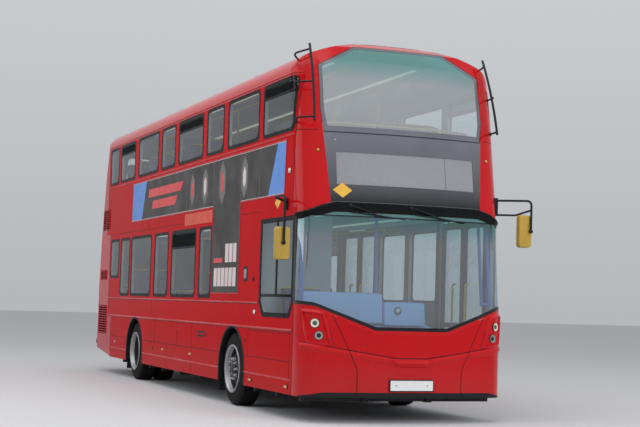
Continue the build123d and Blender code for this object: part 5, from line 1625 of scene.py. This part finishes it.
    # grilles behind the last windows
    for d0, d1, z0, z1, slats in ((7.31, 7.80, 2.50, 2.86, 11), (7.42, 7.86, 1.62, 1.79, 5),
                                  (7.33, 7.92, 0.67, 1.17, 12)):
        black.box((side * (HALF_WIDTH - 0.02), aft(d0), z0), (side * (HALF_WIDTH + 0.001), aft(d1), z1),
                  0.004, 3)
        pitch = (z1 - z0) / slats
        turn = Matrix.Rotation(math.radians(side * 14), 3, "Y")
        for k in range(slats):
            z = z0 + pitch * (k + 0.5)
            x = side * (HALF_WIDTH + 0.003)
            thick = pitch * 0.17
            black.box((x - 0.009, aft(d0) + 0.006, z - thick), (x + 0.009, aft(d1) - 0.006, z + thick),
                      0.0015, 2, turn, 1)
        for y in (aft(d0), aft(d1), aft((d0 + d1) / 2)):
            black.box((side * HALF_WIDTH, y - 0.006, z0), (side * (HALF_WIDTH + 0.010), y + 0.006, z1),
                      0.002, 2)
    return dark, lip, black


for side, word in ((-1, "right"), (1, "left")):
    dark, lip, black = side_mesh(side)
    piece(f"side_joints_{word}", dark, ROOT, [seam_dark])
    piece(f"side_rails_{word}", lip, ROOT, [red_trim])
    piece(f"side_fittings_{word}", black, ROOT, [plastic, screen_grey, red_trim, vent_black])

markers = Shape()


def marker(point, normal, size, slot):
    markers.lathe([(-0.004, size * 1.25), (0.004, size * 1.2), (0.006, size * 1.05)], point, normal, 28, 1)
    markers.lathe([(0.005, size * 1.02), (0.014, size * 0.9), (0.021, size * 0.6), (0.024, 0.001)], point,
                  normal, 28, slot)


for side in (-1, 1):
    out = Vector((side, 0, 0))
    marker(Vector((side * HALF_WIDTH, aft(-2.0), 2.82)), out, 0.03, 0)
    if side < 0:
        marker(Vector((-HALF_WIDTH, aft(-0.89), 1.19)), out, 0.028, 0)
    marker(*skin(NOSE_LINE, side * s_of_x(NOSE_LINE, 1.06), 3.04), 0.018, 2)
    for d in (-2.08, -0.80) if side < 0 else ():
        loop = rounded_loop(aft(d) - 0.055, aft(d) + 0.055, 0.352, 0.390, 0.012, 4)
        markers.prism([(side * (HALF_WIDTH - 0.002), y, z) for y, z in loop], (side * 0.012, 0, 0), 1)
        loop = rounded_loop(aft(d) - 0.048, aft(d) + 0.048, 0.357, 0.385, 0.010, 4)
        markers.prism([(side * (HALF_WIDTH + 0.009), y, z) for y, z in loop], (side * 0.005, 0, 0), 2)
    for d in (1.9 if side < 0 else 0.85, 3.4, 6.6):
        loop = rounded_loop(aft(d) - 0.05, aft(d) + 0.05, 0.545, 0.575, 0.008, 4)
        markers.prism([(side * (HALF_WIDTH - 0.002), y, z) for y, z in loop], (side * 0.007, 0, 0), 2)
piece("marker_lamps", markers, ROOT, [lamp_cream, plastic, lamp_amber])

# Advertisement sheet on the driver's side: a plain pattern of bars, blocks and lozenges
advert = Shape()


def sheet_piece(points, layer, slot):
    x = -HALF_WIDTH - 0.001 - 0.0006 * layer
    advert.prism([(x, aft(y), z) for y, z in points], (-0.0005 if layer else -0.0006, 0, 0), slot)


ADVERT = ((5.64, 3.19), (-1.86, 3.19), (-1.83, 2.56), (-0.20, 2.56), (-0.20, 1.41), (1.00, 1.41),
          (1.00, 2.56), (5.66, 2.56))
sheet_piece(ADVERT, 0, 0)
sheet_piece(((5.62, 3.175), (4.72, 3.175), (4.98, 2.575), (5.64, 2.575)), 1, 2)
sheet_piece(((-1.56, 3.175), (-1.84, 3.175), (-1.81, 2.575), (-1.25, 2.575)), 1, 2)
sheet_piece(((4.55, 3.03), (2.55, 3.03), (2.68, 2.90), (4.60, 2.90)), 1, 3)
sheet_piece(((4.30, 2.84), (2.85, 2.84), (2.98, 2.71), (4.35, 2.71)), 1, 3)
for k, (d, size) in enumerate(((2.05, 0.20), (1.42, 0.23), (0.62, 0.25), (-0.32, 0.23))):
    tall = size * 1.15
    loop = [(d + size * 0.62 * math.cos(a),
             2.87 + tall * math.sin(a)) for a in [2 * math.pi * j / 6 + math.pi / 6 for j in range(6)]]
    sheet_piece(loop, 1, 1)
    loop = [(d + size * 0.30 * math.cos(a),
             2.87 + tall * 0.5 * math.sin(a)) for a in [2 * math.pi * j / 6 + math.pi / 6 for j in range(6)]]
    sheet_piece(loop, 2, 4 if k % 2 else 3)
for d in (3.9, 2.33, 1.0, -0.20, -0.92):
    sheet_piece(((d + 0.006, 3.18), (d - 0.006, 3.18), (d - 0.006, 2.57), (d + 0.006, 2.57)), 3, 1)
for z0, z1, reach, blocks in ((1.50, 1.74, 0.90, 6), (1.81, 2.05, 0.42, 3)):
    pitch = (reach + 0.08) / blocks
    for k in range(blocks):
        y = -0.08 + pitch * k
        sheet_piece(((y + pitch * 0.84, z1), (y, z1), (y, z0), (y + pitch * 0.84, z0)), 1, 4)
sheet_piece(((0.90, 1.87), (0.52, 1.87), (0.52, 1.81), (0.90, 1.81)), 1, 3)
piece("advert_sheet", advert, ROOT, [advert_dark, advert_mid, advert_blue, advert_red,
                                                 advert_pale])
advert_frame = Shape()
for (y0, z0), (y1, z1) in zip(ADVERT, ADVERT[1:] + ADVERT[:1]):
    ahead = Vector((0, y1 - y0, z1 - z0)).normalized() * 0.008
    a = Vector((-HALF_WIDTH, aft(y0), z0)) - ahead
    b = Vector((-HALF_WIDTH, aft(y1), z1)) + ahead
    strip(advert_frame, [(a, Vector((-1, 0, 0))), (b, Vector((-1, 0, 0)))], 0.016, 0.004, 0, 0.003, 0.002)
for (y0, z0), (y1, z1) in ((((5.66, 2.574), (1.0, 2.574))), ((-0.20, 2.574), (-1.83, 2.574)),
                           ((5.64, 3.176), (-1.86, 3.176))):
    strip(advert_frame, side_spots(-1, [(y0, z0), (y1, z1)], 1.0), 0.006, 0.0035, 1)
ORANGE_SHEET = ((2.40, 2.53), (1.03, 2.53), (1.03, 2.365), (2.40, 2.365))
advert_frame.prism([(-HALF_WIDTH - 0.0005, aft(y), z) for y, z in ORANGE_SHEET], (-0.0012, 0, 0), 2)
piece("advert_frame", advert_frame, ROOT, [red_trim, advert_pale, advert_orange])

# Doors: glazed leaves with a rubber-edged frame and a grab rail inside
LEAF_X0, LEAF_X1 = 1.222, 1.252
DOORS = {}
for name, (front, rear) in (("front_door", FRONT_DOOR), ("centre_door", CENTRE_DOOR)):
    reach = (rear - front) / 2 + 0.035
    DOORS[name + "_front"] = (front - 0.035, 1, reach)
    DOORS[name + "_rear"] = (rear + 0.035, -1, reach)
LEAF_Z = (0.374, 2.376)
for name, (post, direction, reach) in DOORS.items():
    near = aft(post) + direction * 0.049
    far = aft(post) + direction * (reach - 0.005)
    y0, y1 = min(near, far), max(near, far)
    middle = aft(post) + direction * reach / 2
    leaf = Shape()
    outer = rounded_loop(y0 + 0.001, y1 - 0.001, *LEAF_Z, 0.012, 4)
    inner = rounded_loop(y0 + 0.055, y1 - 0.055, LEAF_Z[0] + 0.075, LEAF_Z[1] - 0.075, 0.06, 4)
    leaf.ring([(LEAF_X0, y, z) for y, z in outer], [(LEAF_X0, y, z) for y, z in inner], (0.029, 0, 0), 0)
    bead_out = rounded_loop(y0 + 0.048, y1 - 0.048, LEAF_Z[0] + 0.068, LEAF_Z[1] - 0.068, 0.066, 4)
    bead_in = rounded_loop(y0 + 0.068, y1 - 0.068, LEAF_Z[0] + 0.088, LEAF_Z[1] - 0.088, 0.05, 4)
    leaf.ring([(LEAF_X1 - 0.004, y, z) for y, z in bead_out], [(LEAF_X1 - 0.004, y, z) for y, z in bead_in],
              (0.0045, 0, 0), 1)
    leaf.box((LEAF_X0, y0 + 0.05, 1.06), (LEAF_X1 - 0.001, y1 - 0.05, 1.12), 0.004, 0)
    edge = y1 if direction > 0 else y0
    lip = edge - direction * 0.014
    leaf.box((LEAF_X0 + 0.003, lip, LEAF_Z[0] + 0.01), (LEAF_X1 - 0.002, edge, LEAF_Z[1] - 0.01), 0.005, 1)
    rail_y = between(near, far, 0.72)
    leaf.tube(bend([(LEAF_X0 + 0.002, rail_y, 0.95), (LEAF_X0 - 0.045, rail_y, 0.95),
                    (LEAF_X0 - 0.045, rail_y, 1.60), (LEAF_X0 + 0.002, rail_y, 1.60)], 0.03, 5), 0.012, 14, 3)
    for low, high, pin_low, pin_high in ((LEAF_Z[0], LEAF_Z[0] + 0.016, 0.346, 0.39),
                                         (LEAF_Z[1] - 0.016, LEAF_Z[1], 2.36, 2.404)):
        leaf.box((1.171, middle - 0.016, low), (LEAF_X0 + 0.003, middle + 0.016, high), 0.003, 2)
        leaf.lathe([(0.0, 0.0008), (0.0, 0.008), (pin_high - pin_low, 0.008), (pin_high - pin_low, 0.0008)],
                   (1.187, middle, pin_low), (0, 0, 1), 20, 2)
    piece(name + "_frame", leaf, name + "_leaf",
          [black_gloss, rubber, dark_steel, pole_yellow], [name + "_leaf"])
    panes = Shape()
    panes.box((LEAF_X1 - 0.014, y0 + 0.045, 1.115), (LEAF_X1 - 0.006, y1 - 0.045, LEAF_Z[1] - 0.065), 0.001,
              0)
    panes.box((LEAF_X1 - 0.014, y0 + 0.045, LEAF_Z[0] + 0.065), (LEAF_X1 - 0.006, y1 - 0.045, 1.065), 0.001,
              0)
    piece(name + "_glass", panes, name + "_leaf", [door_glass])

doorways = Shape()
for front, rear in (FRONT_DOOR, CENTRE_DOOR):
    y0, y1 = aft(front), aft(rear)
    outer = [(y0 - 0.02, 0.29), (y0 - 0.02, 2.42), (y1 + 0.02, 2.42), (y1 + 0.02, 0.29)]
    for (ya, za), (yb, zb) in zip(outer, outer[1:]):
        strip(doorways, [(Vector((HALF_WIDTH, ya, za)), Vector((1, 0, 0))),
                         (Vector((HALF_WIDTH, yb, zb)), Vector((1, 0, 0)))], 0.022, 0.004, 0, 0.003, 0.002)
    doorways.box((1.205, y0 + 0.004, 0.3405), (1.254, y1 - 0.004, 0.346), 0.002, 1)
    doorways.box((1.200, y0 + 0.03, 2.428), (1.268, y1 - 0.03, 2.470), 0.008, 0)
piece("doorway_edges", doorways, ROOT, [rubber, pole_yellow])

# Rear face
rear_fit = Shape()
rear_dark = Shape()


def tail_loop(half, low, high, radius, steps=5):
    return [(s_of_x(TAIL_LINE, x), z) for x, z in rounded_loop(-half, half, low, high, radius, steps)]


def dense(loop, gap=0.12):
    found = []
    for (a, b), (c, d) in zip(loop, loop[1:] + loop[:1]):
        count = max(1, math.ceil(math.hypot(c - a, d - b) / gap))
        found += [(between(a, c, k / count), between(b, d, k / count)) for k in range(count)]
    return found


def tail_ring(shape, half, low, high, radius, inset, lift, slot):
    outer = dense(tail_loop(half, low, high, radius))
    centre = (0.0, (low + high) / 2)
    inner = []
    for s, z in outer:
        fx = (half - inset) / half
        fz = ((high - low) / 2 - inset) / ((high - low) / 2)
        inner.append((s * fx, centre[1] + (z - centre[1]) * fz))
    skin_ring(shape, outer, inner, slot, lift, TAIL_LINE)


tail_ring(rear_fit, 0.915, 3.285, 3.895, 0.075, 0.055, 0.004, 0)
tail_ring(rear_fit, 0.956, 0.612, 1.508, 0.05, 0.014, 0.003, 1)
for z in (3.24, 2.40, 1.70):
    strip(rear_dark, front_spots([(-1.2, z), (1.2, z)], 0.06, TAIL_LINE), 0.006, 0.0016)
for side in (-1, 1):
    strip(rear_dark, [skin(TAIL_LINE, side * s_of_x(TAIL_LINE, 1.02), z) for z in (1.55, 2.0, 2.4, 3.2)],
          0.006, 0.0016)
piece("rear_joints", rear_dark, ROOT, [seam_dark])

# Blank route box, reflectors, lamps and bumper of the rear
box_loop = dense([(s_of_x(TAIL_LINE, x), z) for x, z in rounded_loop(-0.36, 0.36, 2.62, 2.95, 0.03, 4)], 0.1)
centre = (0.0, 2.785)
inner_loop = [(s * 0.90, centre[1] + (z - centre[1]) * 0.82) for s, z in box_loop]
skin_ring(rear_fit, box_loop, inner_loop, 1, 0.006, TAIL_LINE)
rows = [[skin(TAIL_LINE, between(-0.335, 0.335, k / 12), between(2.645, 2.925, j / 6),
              0.002)[0] for k in range(13)] for j in range(7)]
rear_fit.grid(rows, 2)
for side in (-1, 1):
    point, normal = skin(TAIL_LINE, side * s_of_x(TAIL_LINE, 1.02), 1.60)
    rear_fit.lathe([(-0.004, 0.036), (0.004, 0.036), (0.008, 0.032), (0.010, 0.001)], point, normal, 28, 3)
    point, normal = skin(TAIL_LINE, side * s_of_x(TAIL_LINE, 1.08), 0.72)
    rear_fit.lathe([(-0.004, 0.040), (0.004, 0.040), (0.007, 0.036), (0.008, 0.001)], point, normal, 28, 3)
    strip(rear_fit, [skin(TAIL_LINE, side * s_of_x(TAIL_LINE, 1.09), z) for z in (0.93, 1.2, 1.46)], 0.128,
          0.0012, 1)
    point, normal = skin(TAIL_LINE, side * s_of_x(TAIL_LINE, 0.80), 4.02)
    rear_fit.lathe([(-0.004, 0.024), (0.006, 0.024), (0.016, 0.018), (0.020, 0.001)], point, normal, 24, 3)
high_lamp = [skin(TAIL_LINE, between(-0.14, 0.14, k / 6), 3.98) for k in range(7)]
strip(rear_fit, high_lamp, 0.035, 0.008, 3, 0.003, 0.004)
bumper_run = []
for k in range(61):
    s = between(-1.0, 1.0, k / 60) * s_of_x(TAIL_LINE, 1.25)
    bumper_run.append((s, 0.52))
swept(rear_fit, bumper_run, ((0.055, -0.004), (0.052, 0.006), (0.02, 0.013), (-0.03, 0.013), (-0.05, 0.004),
                             (-0.052, -0.004)), 1, TAIL_LINE)
piece("rear_fittings", rear_fit, ROOT, [black_glass, plastic, screen_grey, lamp_red])

# Engine lid: louvres, handle and a blank plate, all riding on the lid
lid = Shape()
for row in range(13):
    z = 0.80 + row * 0.030
    path = [skin(TAIL_LINE, s_of_x(TAIL_LINE, x),
                 z) for x in [between(-0.78, 0.78, k / 16) for k in range(17)]]
    rows = []
    for point, normal in path:
        rows.append([point + Vector((0, 0, dz)) + normal * lift for dz,
                     lift in ((0.010, -0.003), (0.010, 0.001), (-0.007, 0.012), (-0.010, 0.010),
                              (-0.008, -0.003))])
    lid.grid(rows, 0, close_columns=True)
for x in (-0.80, 0.80):
    strip(lid, [skin(TAIL_LINE, s_of_x(TAIL_LINE, x), z) for z in (0.78, 1.0, 1.185)], 0.02, 0.010, 0)
for x in (-0.45, 0.45):
    point, normal = skin(TAIL_LINE, s_of_x(TAIL_LINE, x), 0.70)
    lid.lathe([(-0.003, 0.024), (0.004, 0.024), (0.008, 0.02), (0.008, 0.001)], point, normal, 24, 1)
piece("lid_louvres", lid, "engine_lid", [plastic, bright_metal])
lid_plate = Shape()
y = TAIL_Y - 0.006
loops = [rounded_loop(-a, a, -b, b, 0.009, 4) for a, b in ((0.272, 0.066), (0.260, 0.0555), (0.254, 0.0495))]


def on_lid(loop, stand):
    return [Vector((a, y + stand, 1.335 + b)) for a, b in loop]


lid_plate.prism(on_lid(loops[0], 0.0), (0, 0.009, 0), 1)
lid_plate.prism(on_lid(loops[1], 0.009), (0, 0.0025, 0), 0)
lid_plate.ring(on_lid(loops[1], 0.0115), on_lid(loops[2], 0.0115), (0, 0.0012, 0), 0)
piece("rear_plate", lid_plate, "engine_lid", [plate_yellow, plastic])

# Roof: joints, hatches and a small aerial


def roof_height(x):
    return 4.40 - (1 - math.cos(math.asin(min(1, abs(x) / 2.6)))) * 2.6


skin_nodes = [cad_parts[n] for n in ("roof", "front_dome", "rear_upper")]
points, polygons = [], []
for node in skin_nodes:
    base = len(points)
    points += [v.co.copy() for v in node.data.vertices]
    polygons += [[base + i for i in p.vertices] for p in node.data.polygons]
top_tree = BVHTree.FromPolygons(points, polygons)


def on_top(x, y, lift=0.0):
    hit, normal, _, _ = top_tree.ray_cast(Vector((x, y, 6)), Vector((0, 0, -1)))
    if hit is None:
        return Vector((x, y, 4.3)), Vector((0, 0, 1))
    return hit + normal * lift, normal


roof_fit = Shape()
for d in (-1.88, -0.2, 1.6, 3.4, 5.2, 7.0, 7.48):
    spots = []
    for k in range(25):
        spots.append(on_top(between(-1.12, 1.12, k / 24), aft(d)))
    strip(roof_fit, spots, 0.010, 0.0025, 0, 0.003, 0.001)
for side in (-1, 1):
    for x in (0.55, 0.93):
        spots = [on_top(side * x, aft(between(-1.9, 7.5, k / 16))) for k in range(17)]
        strip(roof_fit, spots, 0.014, 0.003, 1, 0.003, 0.003)
for d in (0.7, 4.3):
    loop = rounded_loop(aft(d) - 0.36, aft(d) + 0.36, -0.36, 0.36, 0.07, 5)
    rows = []
    for grow, rise in ((1.06, -0.02), (1.06, 0.012), (1.0, 0.016), (0.98, 0.030), (0.90, 0.034),
                       (0.5, 0.040), (0.01, 0.041)):
        row = []
        for yy, xx in loop:
            yy = aft(d) + (yy - aft(d)) * grow
            row.append(Vector((xx * grow, yy, min(4.399, roof_height(xx * grow) - 0.036 + rise))))
        rows.append(row)
    roof_fit.grid(rows, 1, close_columns=True)
point, normal = on_top(-0.25, aft(-1.75))
roof_fit.lathe([(-0.01, 0.035), (0.006, 0.035), (0.012, 0.028), (0.014, 0.001)], point, normal, 28, 2)
piece("roof_fittings", roof_fit, ROOT, [seam_dark, red_trim, plastic])

# Inside: ceilings, lamps, rails, cab and stair details seen through the glass
inside = Shape()
for z, y_start, y_end, half in ((2.405, aft(-2.0), aft(7.2), 1.19), (4.235, aft(-1.6), aft(7.2), 0.90)):
    inside.box((-half, y_start, z - 0.012), (half, y_end, z), 0.004, 0)
    for side in (-1, 1):
        inside.box((side * 0.52, y_start + 0.2, z - 0.030), (side * 0.57, y_end - 0.2, z - 0.010), 0.008, 1)
for side in (-1, 1):
    rail_x = side * 0.46
    inside.tube([(rail_x, aft(-1.6), 4.12), (rail_x, aft(2.6), 4.12), (rail_x, aft(7.0), 4.12)], 0.0155, 14,
                2)
    inside.tube([(rail_x, aft(-0.6 if side < 0 else -0.8), 2.27), (rail_x, aft(6.6), 2.27)], 0.0155, 14, 2)
for row in range(6):
    d = -1.0 + 1.52 * row
    for side in (-1, 1):
        if side < 0 and -1.2 < d < 1.3:
            continue
        inside.tube([(side * 0.46, aft(d) + 0.5, 2.95), (side * 0.46, aft(d) + 0.5, 4.12)], 0.0155, 14, 2)
front_rail = [(-1.08, aft(-1.78), 3.42), (-0.6, aft(-1.95), 3.42), (0.6, aft(-1.95), 3.42),
              (1.08, aft(-1.78), 3.42)]
inside.tube(bend(front_rail, 0.12, 8), 0.0155, 14, 2)
inside.box((-1.12, aft(-2.02), 2.52), (1.12, aft(-1.94), 3.22), 0.03, 3)
piece("saloon_trim", inside, ROOT, [pale_trim, saloon_light, pole_yellow, dark_trim])

cab = Shape()


def moulding(shape, profile, x0, x1, edge, slot=0):
    """A moulded block along x with rounded ends; profile holds (distance aft, height)."""
    middle = Vector((sum(p[0] for p in profile), sum(p[1] for p in profile))) / len(profile)
    rows = []
    for x, inset in ((x0, edge), (x0 + edge * 0.3, edge * 0.3), (x0 + edge, 0), (x1 - edge, 0),
                     (x1 - edge * 0.3, edge * 0.3), (x1, edge)):
        row = []
        for point in profile:
            spoke = Vector(point) - middle
            spot = middle + spoke * (1 - inset / spoke.length)
            row.append((x, aft(spot.x), spot.y))
        rows.append(row)
    shape.grid(rows, slot, close_columns=True)
    for row, order in ((rows[0], 1), (rows[-1], -1)):
        shape.add(row, [tuple(range(len(row)))[::order]], slot)


HIGH_DESK = ((-2.315, 1.11), (-2.305, 1.40), (-2.295, 1.438), (-2.27, 1.452), (-2.04, 1.425),
             (-2.01, 1.405), (-2.00, 1.37), (-2.00, 1.11))
LOW_DESK = ((-2.33, 1.09), (-2.315, 1.31), (-2.305, 1.345), (-2.28, 1.357), (-2.06, 1.335), (-2.03, 1.315),
            (-2.02, 1.28), (-2.02, 1.09))
moulding(cab, HIGH_DESK, -1.185, -0.195, 0.03)
moulding(cab, LOW_DESK, -0.185, 0.335, 0.03)
cab.box((-1.02, aft(-2.03), 1.13), (-0.50, aft(-1.97), 1.34), 0.02, 1)
for k in range(2):
    cab.lathe([(0, 0.055), (0.006, 0.055), (0.008, 0.05), (0.006, 0.048), (0.006, 0.001)],
              (-0.84 + 0.16 * k, aft(-1.97), 1.24), (0, 1, 0.1), 28, 1)
cab.box((-0.30, aft(-1.88), 1.02), (-0.12, aft(-1.72), 1.34), 0.015, 1)
fitting = (-0.017, aft(-2.316), 1.254)
cab.lathe([(0, 0.046), (0.012, 0.046), (0.018, 0.040), (0.014, 0.030)], fitting, (0, -1, 0.05), 28, 1)
cab.lathe([(0.006, 0.032), (0.020, 0.028), (0.026, 0.016), (0.028, 0.001)], fitting, (0, -1, 0.05), 28, 3)
for x in (-1.187, 1.085, 1.175):
    lean_in = 0.0 if abs(x) > 1.1 else 0.02
    post = [(x, aft(-2.29 + lean_in), 1.335), (x, aft(-2.235 + lean_in), 1.8),
            (x, aft(-2.165 + lean_in), 2.30)]
    cab.tube(post, 0.027 if abs(x) > 1.1 else 0.02, 12, 5)
cab.tube([(1.085, aft(-2.27), 1.36), (1.175, aft(-2.28), 1.36)], 0.02, 12, 5)
cab.tube([(-0.19, aft(-2.08), 1.40), (-0.19, aft(-2.06), 1.9), (-0.19, aft(-2.04), 2.395)], 0.02, 12, 5)
cab.tube([(-0.345, aft(-1.9), 1.36), (-0.345, aft(-0.98), 1.36)], 0.016, 14, 4)
piece("cab_details", cab, ROOT, [blue_trim, dark_trim, lamp_cream, bright_metal,
                                                  pole_yellow, post_blue])

wheel = Shape()
tilt = Matrix.Rotation(math.radians(-35), 3, "X")
centre = Vector((-0.76, aft(-1.76), 1.15))
round_rim = [2 * math.pi * j / 12 for j in range(12)]
axis = tilt @ Vector((0, 0, 1))
rows = []
for k in range(48):
    a = 2 * math.pi * k / 48
    out = tilt @ Vector((math.cos(a), math.sin(a), 0))
    rows.append([centre + out * (0.220 + 0.0145 * math.cos(b)) + axis * (0.0145 * math.sin(b))
                 for b in round_rim])
wheel.grid(rows, 0, close_rows=True, close_columns=True)
for angle in (0, 180, 270):
    a = math.radians(angle)
    out = tilt @ Vector((math.cos(a), math.sin(a), 0))
    wheel.tube([centre + out * 0.03, centre + out * 0.13 + axis * -0.006, centre + out * 0.215],
               [0.018, 0.013, 0.011], 10, 0)
wheel.lathe([(-0.03, 0.03), (-0.02, 0.055), (0.010, 0.058), (0.018, 0.05), (0.020, 0.001)], centre, axis,
            32, 0)
wheel.lathe([(-0.54, 0.028), (-0.10, 0.028), (-0.08, 0.042), (-0.03, 0.042)], centre, axis, 24, 0)
piece("steering_wheel_rim", wheel, ROOT, [plastic], ["steering_wheel"])

steps = Shape()
rise = (2.52 - 0.34) / 9
run = (1.0 + 0.9 - 0.3) / 8
for k in range(2, 8):
    z = 0.34 + rise * (k + 1)
    y = aft(1.0) - run * (8 - k)
    steps.box((-1.19, y - 0.004, z - 0.03), (-0.57, y + 0.03, z + 0.004), 0.003, 0)
steps.tube(bend([(-0.60, aft(-0.55), 0.75), (-0.60, aft(-0.50), 1.30), (-0.60, aft(0.85), 2.95 + 0.35),
                 (-0.60, aft(1.0), 3.3)], 0.08), 0.0155, 14, 1)
piece("stair_edges", steps, ROOT, [mark_yellow, pole_yellow])


# Stage, light and camera
stage_floor = bpy.data.meshes.new("stage_floor")
stage_floor.from_pydata([(-90, -90, 0), (90, -90, 0), (90, 90, 0), (-90, 90, 0)], [], [(0, 1, 2, 3)])
floor_object = bpy.data.objects.new("stage_floor", stage_floor)
scene.collection.objects.link(floor_object)
stage_floor.materials.append(start_material("stage_floor", (0.62, 0.62, 0.63), 0.9)[0])
floor_object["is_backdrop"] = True

world = bpy.data.worlds.new("studio")
scene.world = world
world.use_nodes = True
tree = world.node_tree
light = tree.nodes["Background"]
light.inputs["Color"].default_value = (0.93, 0.96, 1.0, 1)
light.inputs["Strength"].default_value = 0.55
seen = add(tree, "ShaderNodeBackground")
seen.inputs["Strength"].default_value = 1.0
direction = add(tree, "ShaderNodeTexCoord")
split = add(tree, "ShaderNodeSeparateXYZ")
tree.links.new(direction.outputs["Generated"], split.inputs["Vector"])
height = ranged(tree, split.outputs["Z"], 0.0, 0.55, 0.0, 1.0)
tree.links.new(mixed(tree, height, (0.46, 0.48, 0.50), (0.76, 0.79, 0.82)), seen.inputs["Color"])
path = add(tree, "ShaderNodeLightPath")
any_sight = calc(tree, "MAXIMUM", path.outputs["Is Camera Ray"], path.outputs["Is Glossy Ray"])
any_sight = calc(tree, "MAXIMUM", any_sight, path.outputs["Is Transmission Ray"])
blend = add(tree, "ShaderNodeMixShader")
tree.links.new(any_sight, blend.inputs[0])
tree.links.new(light.outputs[0], blend.inputs[1])
tree.links.new(seen.outputs[0], blend.inputs[2])
tree.links.new(blend.outputs[0], tree.nodes["World Output"].inputs["Surface"])


def area_light(name, where, at, size, power, colour=(1, 1, 1)):
    data = bpy.data.lights.new(name, "AREA")
    data.shape = "RECTANGLE"
    data.size, data.size_y = size
    data.energy = power
    data.color = colour
    made = bpy.data.objects.new(name, data)
    scene.collection.objects.link(made)
    made.location = where
    made.rotation_euler = (Vector(at) - Vector(where)).to_track_quat("-Z", "Y").to_euler()
    return made


area_light("soft_top", (-4, -4, 14), (0, 0, 2), (14, 16), 1300)
area_light("soft_side", (-16, 2, 7), (0, 1, 2), (12, 7), 350)
front_light = area_light("soft_front", (5, -17, 6), (0, -4, 2), (9, 6), 700)
front_light.visible_glossy = False

scene.view_settings.view_transform = "Standard"
PSI, PITCH, ROLL = 0.36852, 0.06439, 0.02909
forward = Vector((math.sin(PSI) * math.cos(PITCH), math.cos(PSI) * math.cos(PITCH), math.sin(PITCH)))
level = Vector((math.cos(PSI), -math.sin(PSI), 0))
over = level.cross(forward)
right = level * math.cos(ROLL) + over * math.sin(ROLL)
up = over * math.cos(ROLL) - level * math.sin(ROLL)
camera_data = bpy.data.cameras.new("camera")
camera_data.sensor_width = 36
camera_data.lens = 77.47
camera_data.clip_end = 300
camera = bpy.data.objects.new("camera", camera_data)
scene.collection.objects.link(camera)
turn = Matrix((right, up, -forward)).transposed().to_4x4()
camera.matrix_world = Matrix.Translation((-6.573, -19.513, 1.328)) @ turn
scene.camera = camera

low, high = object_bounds()
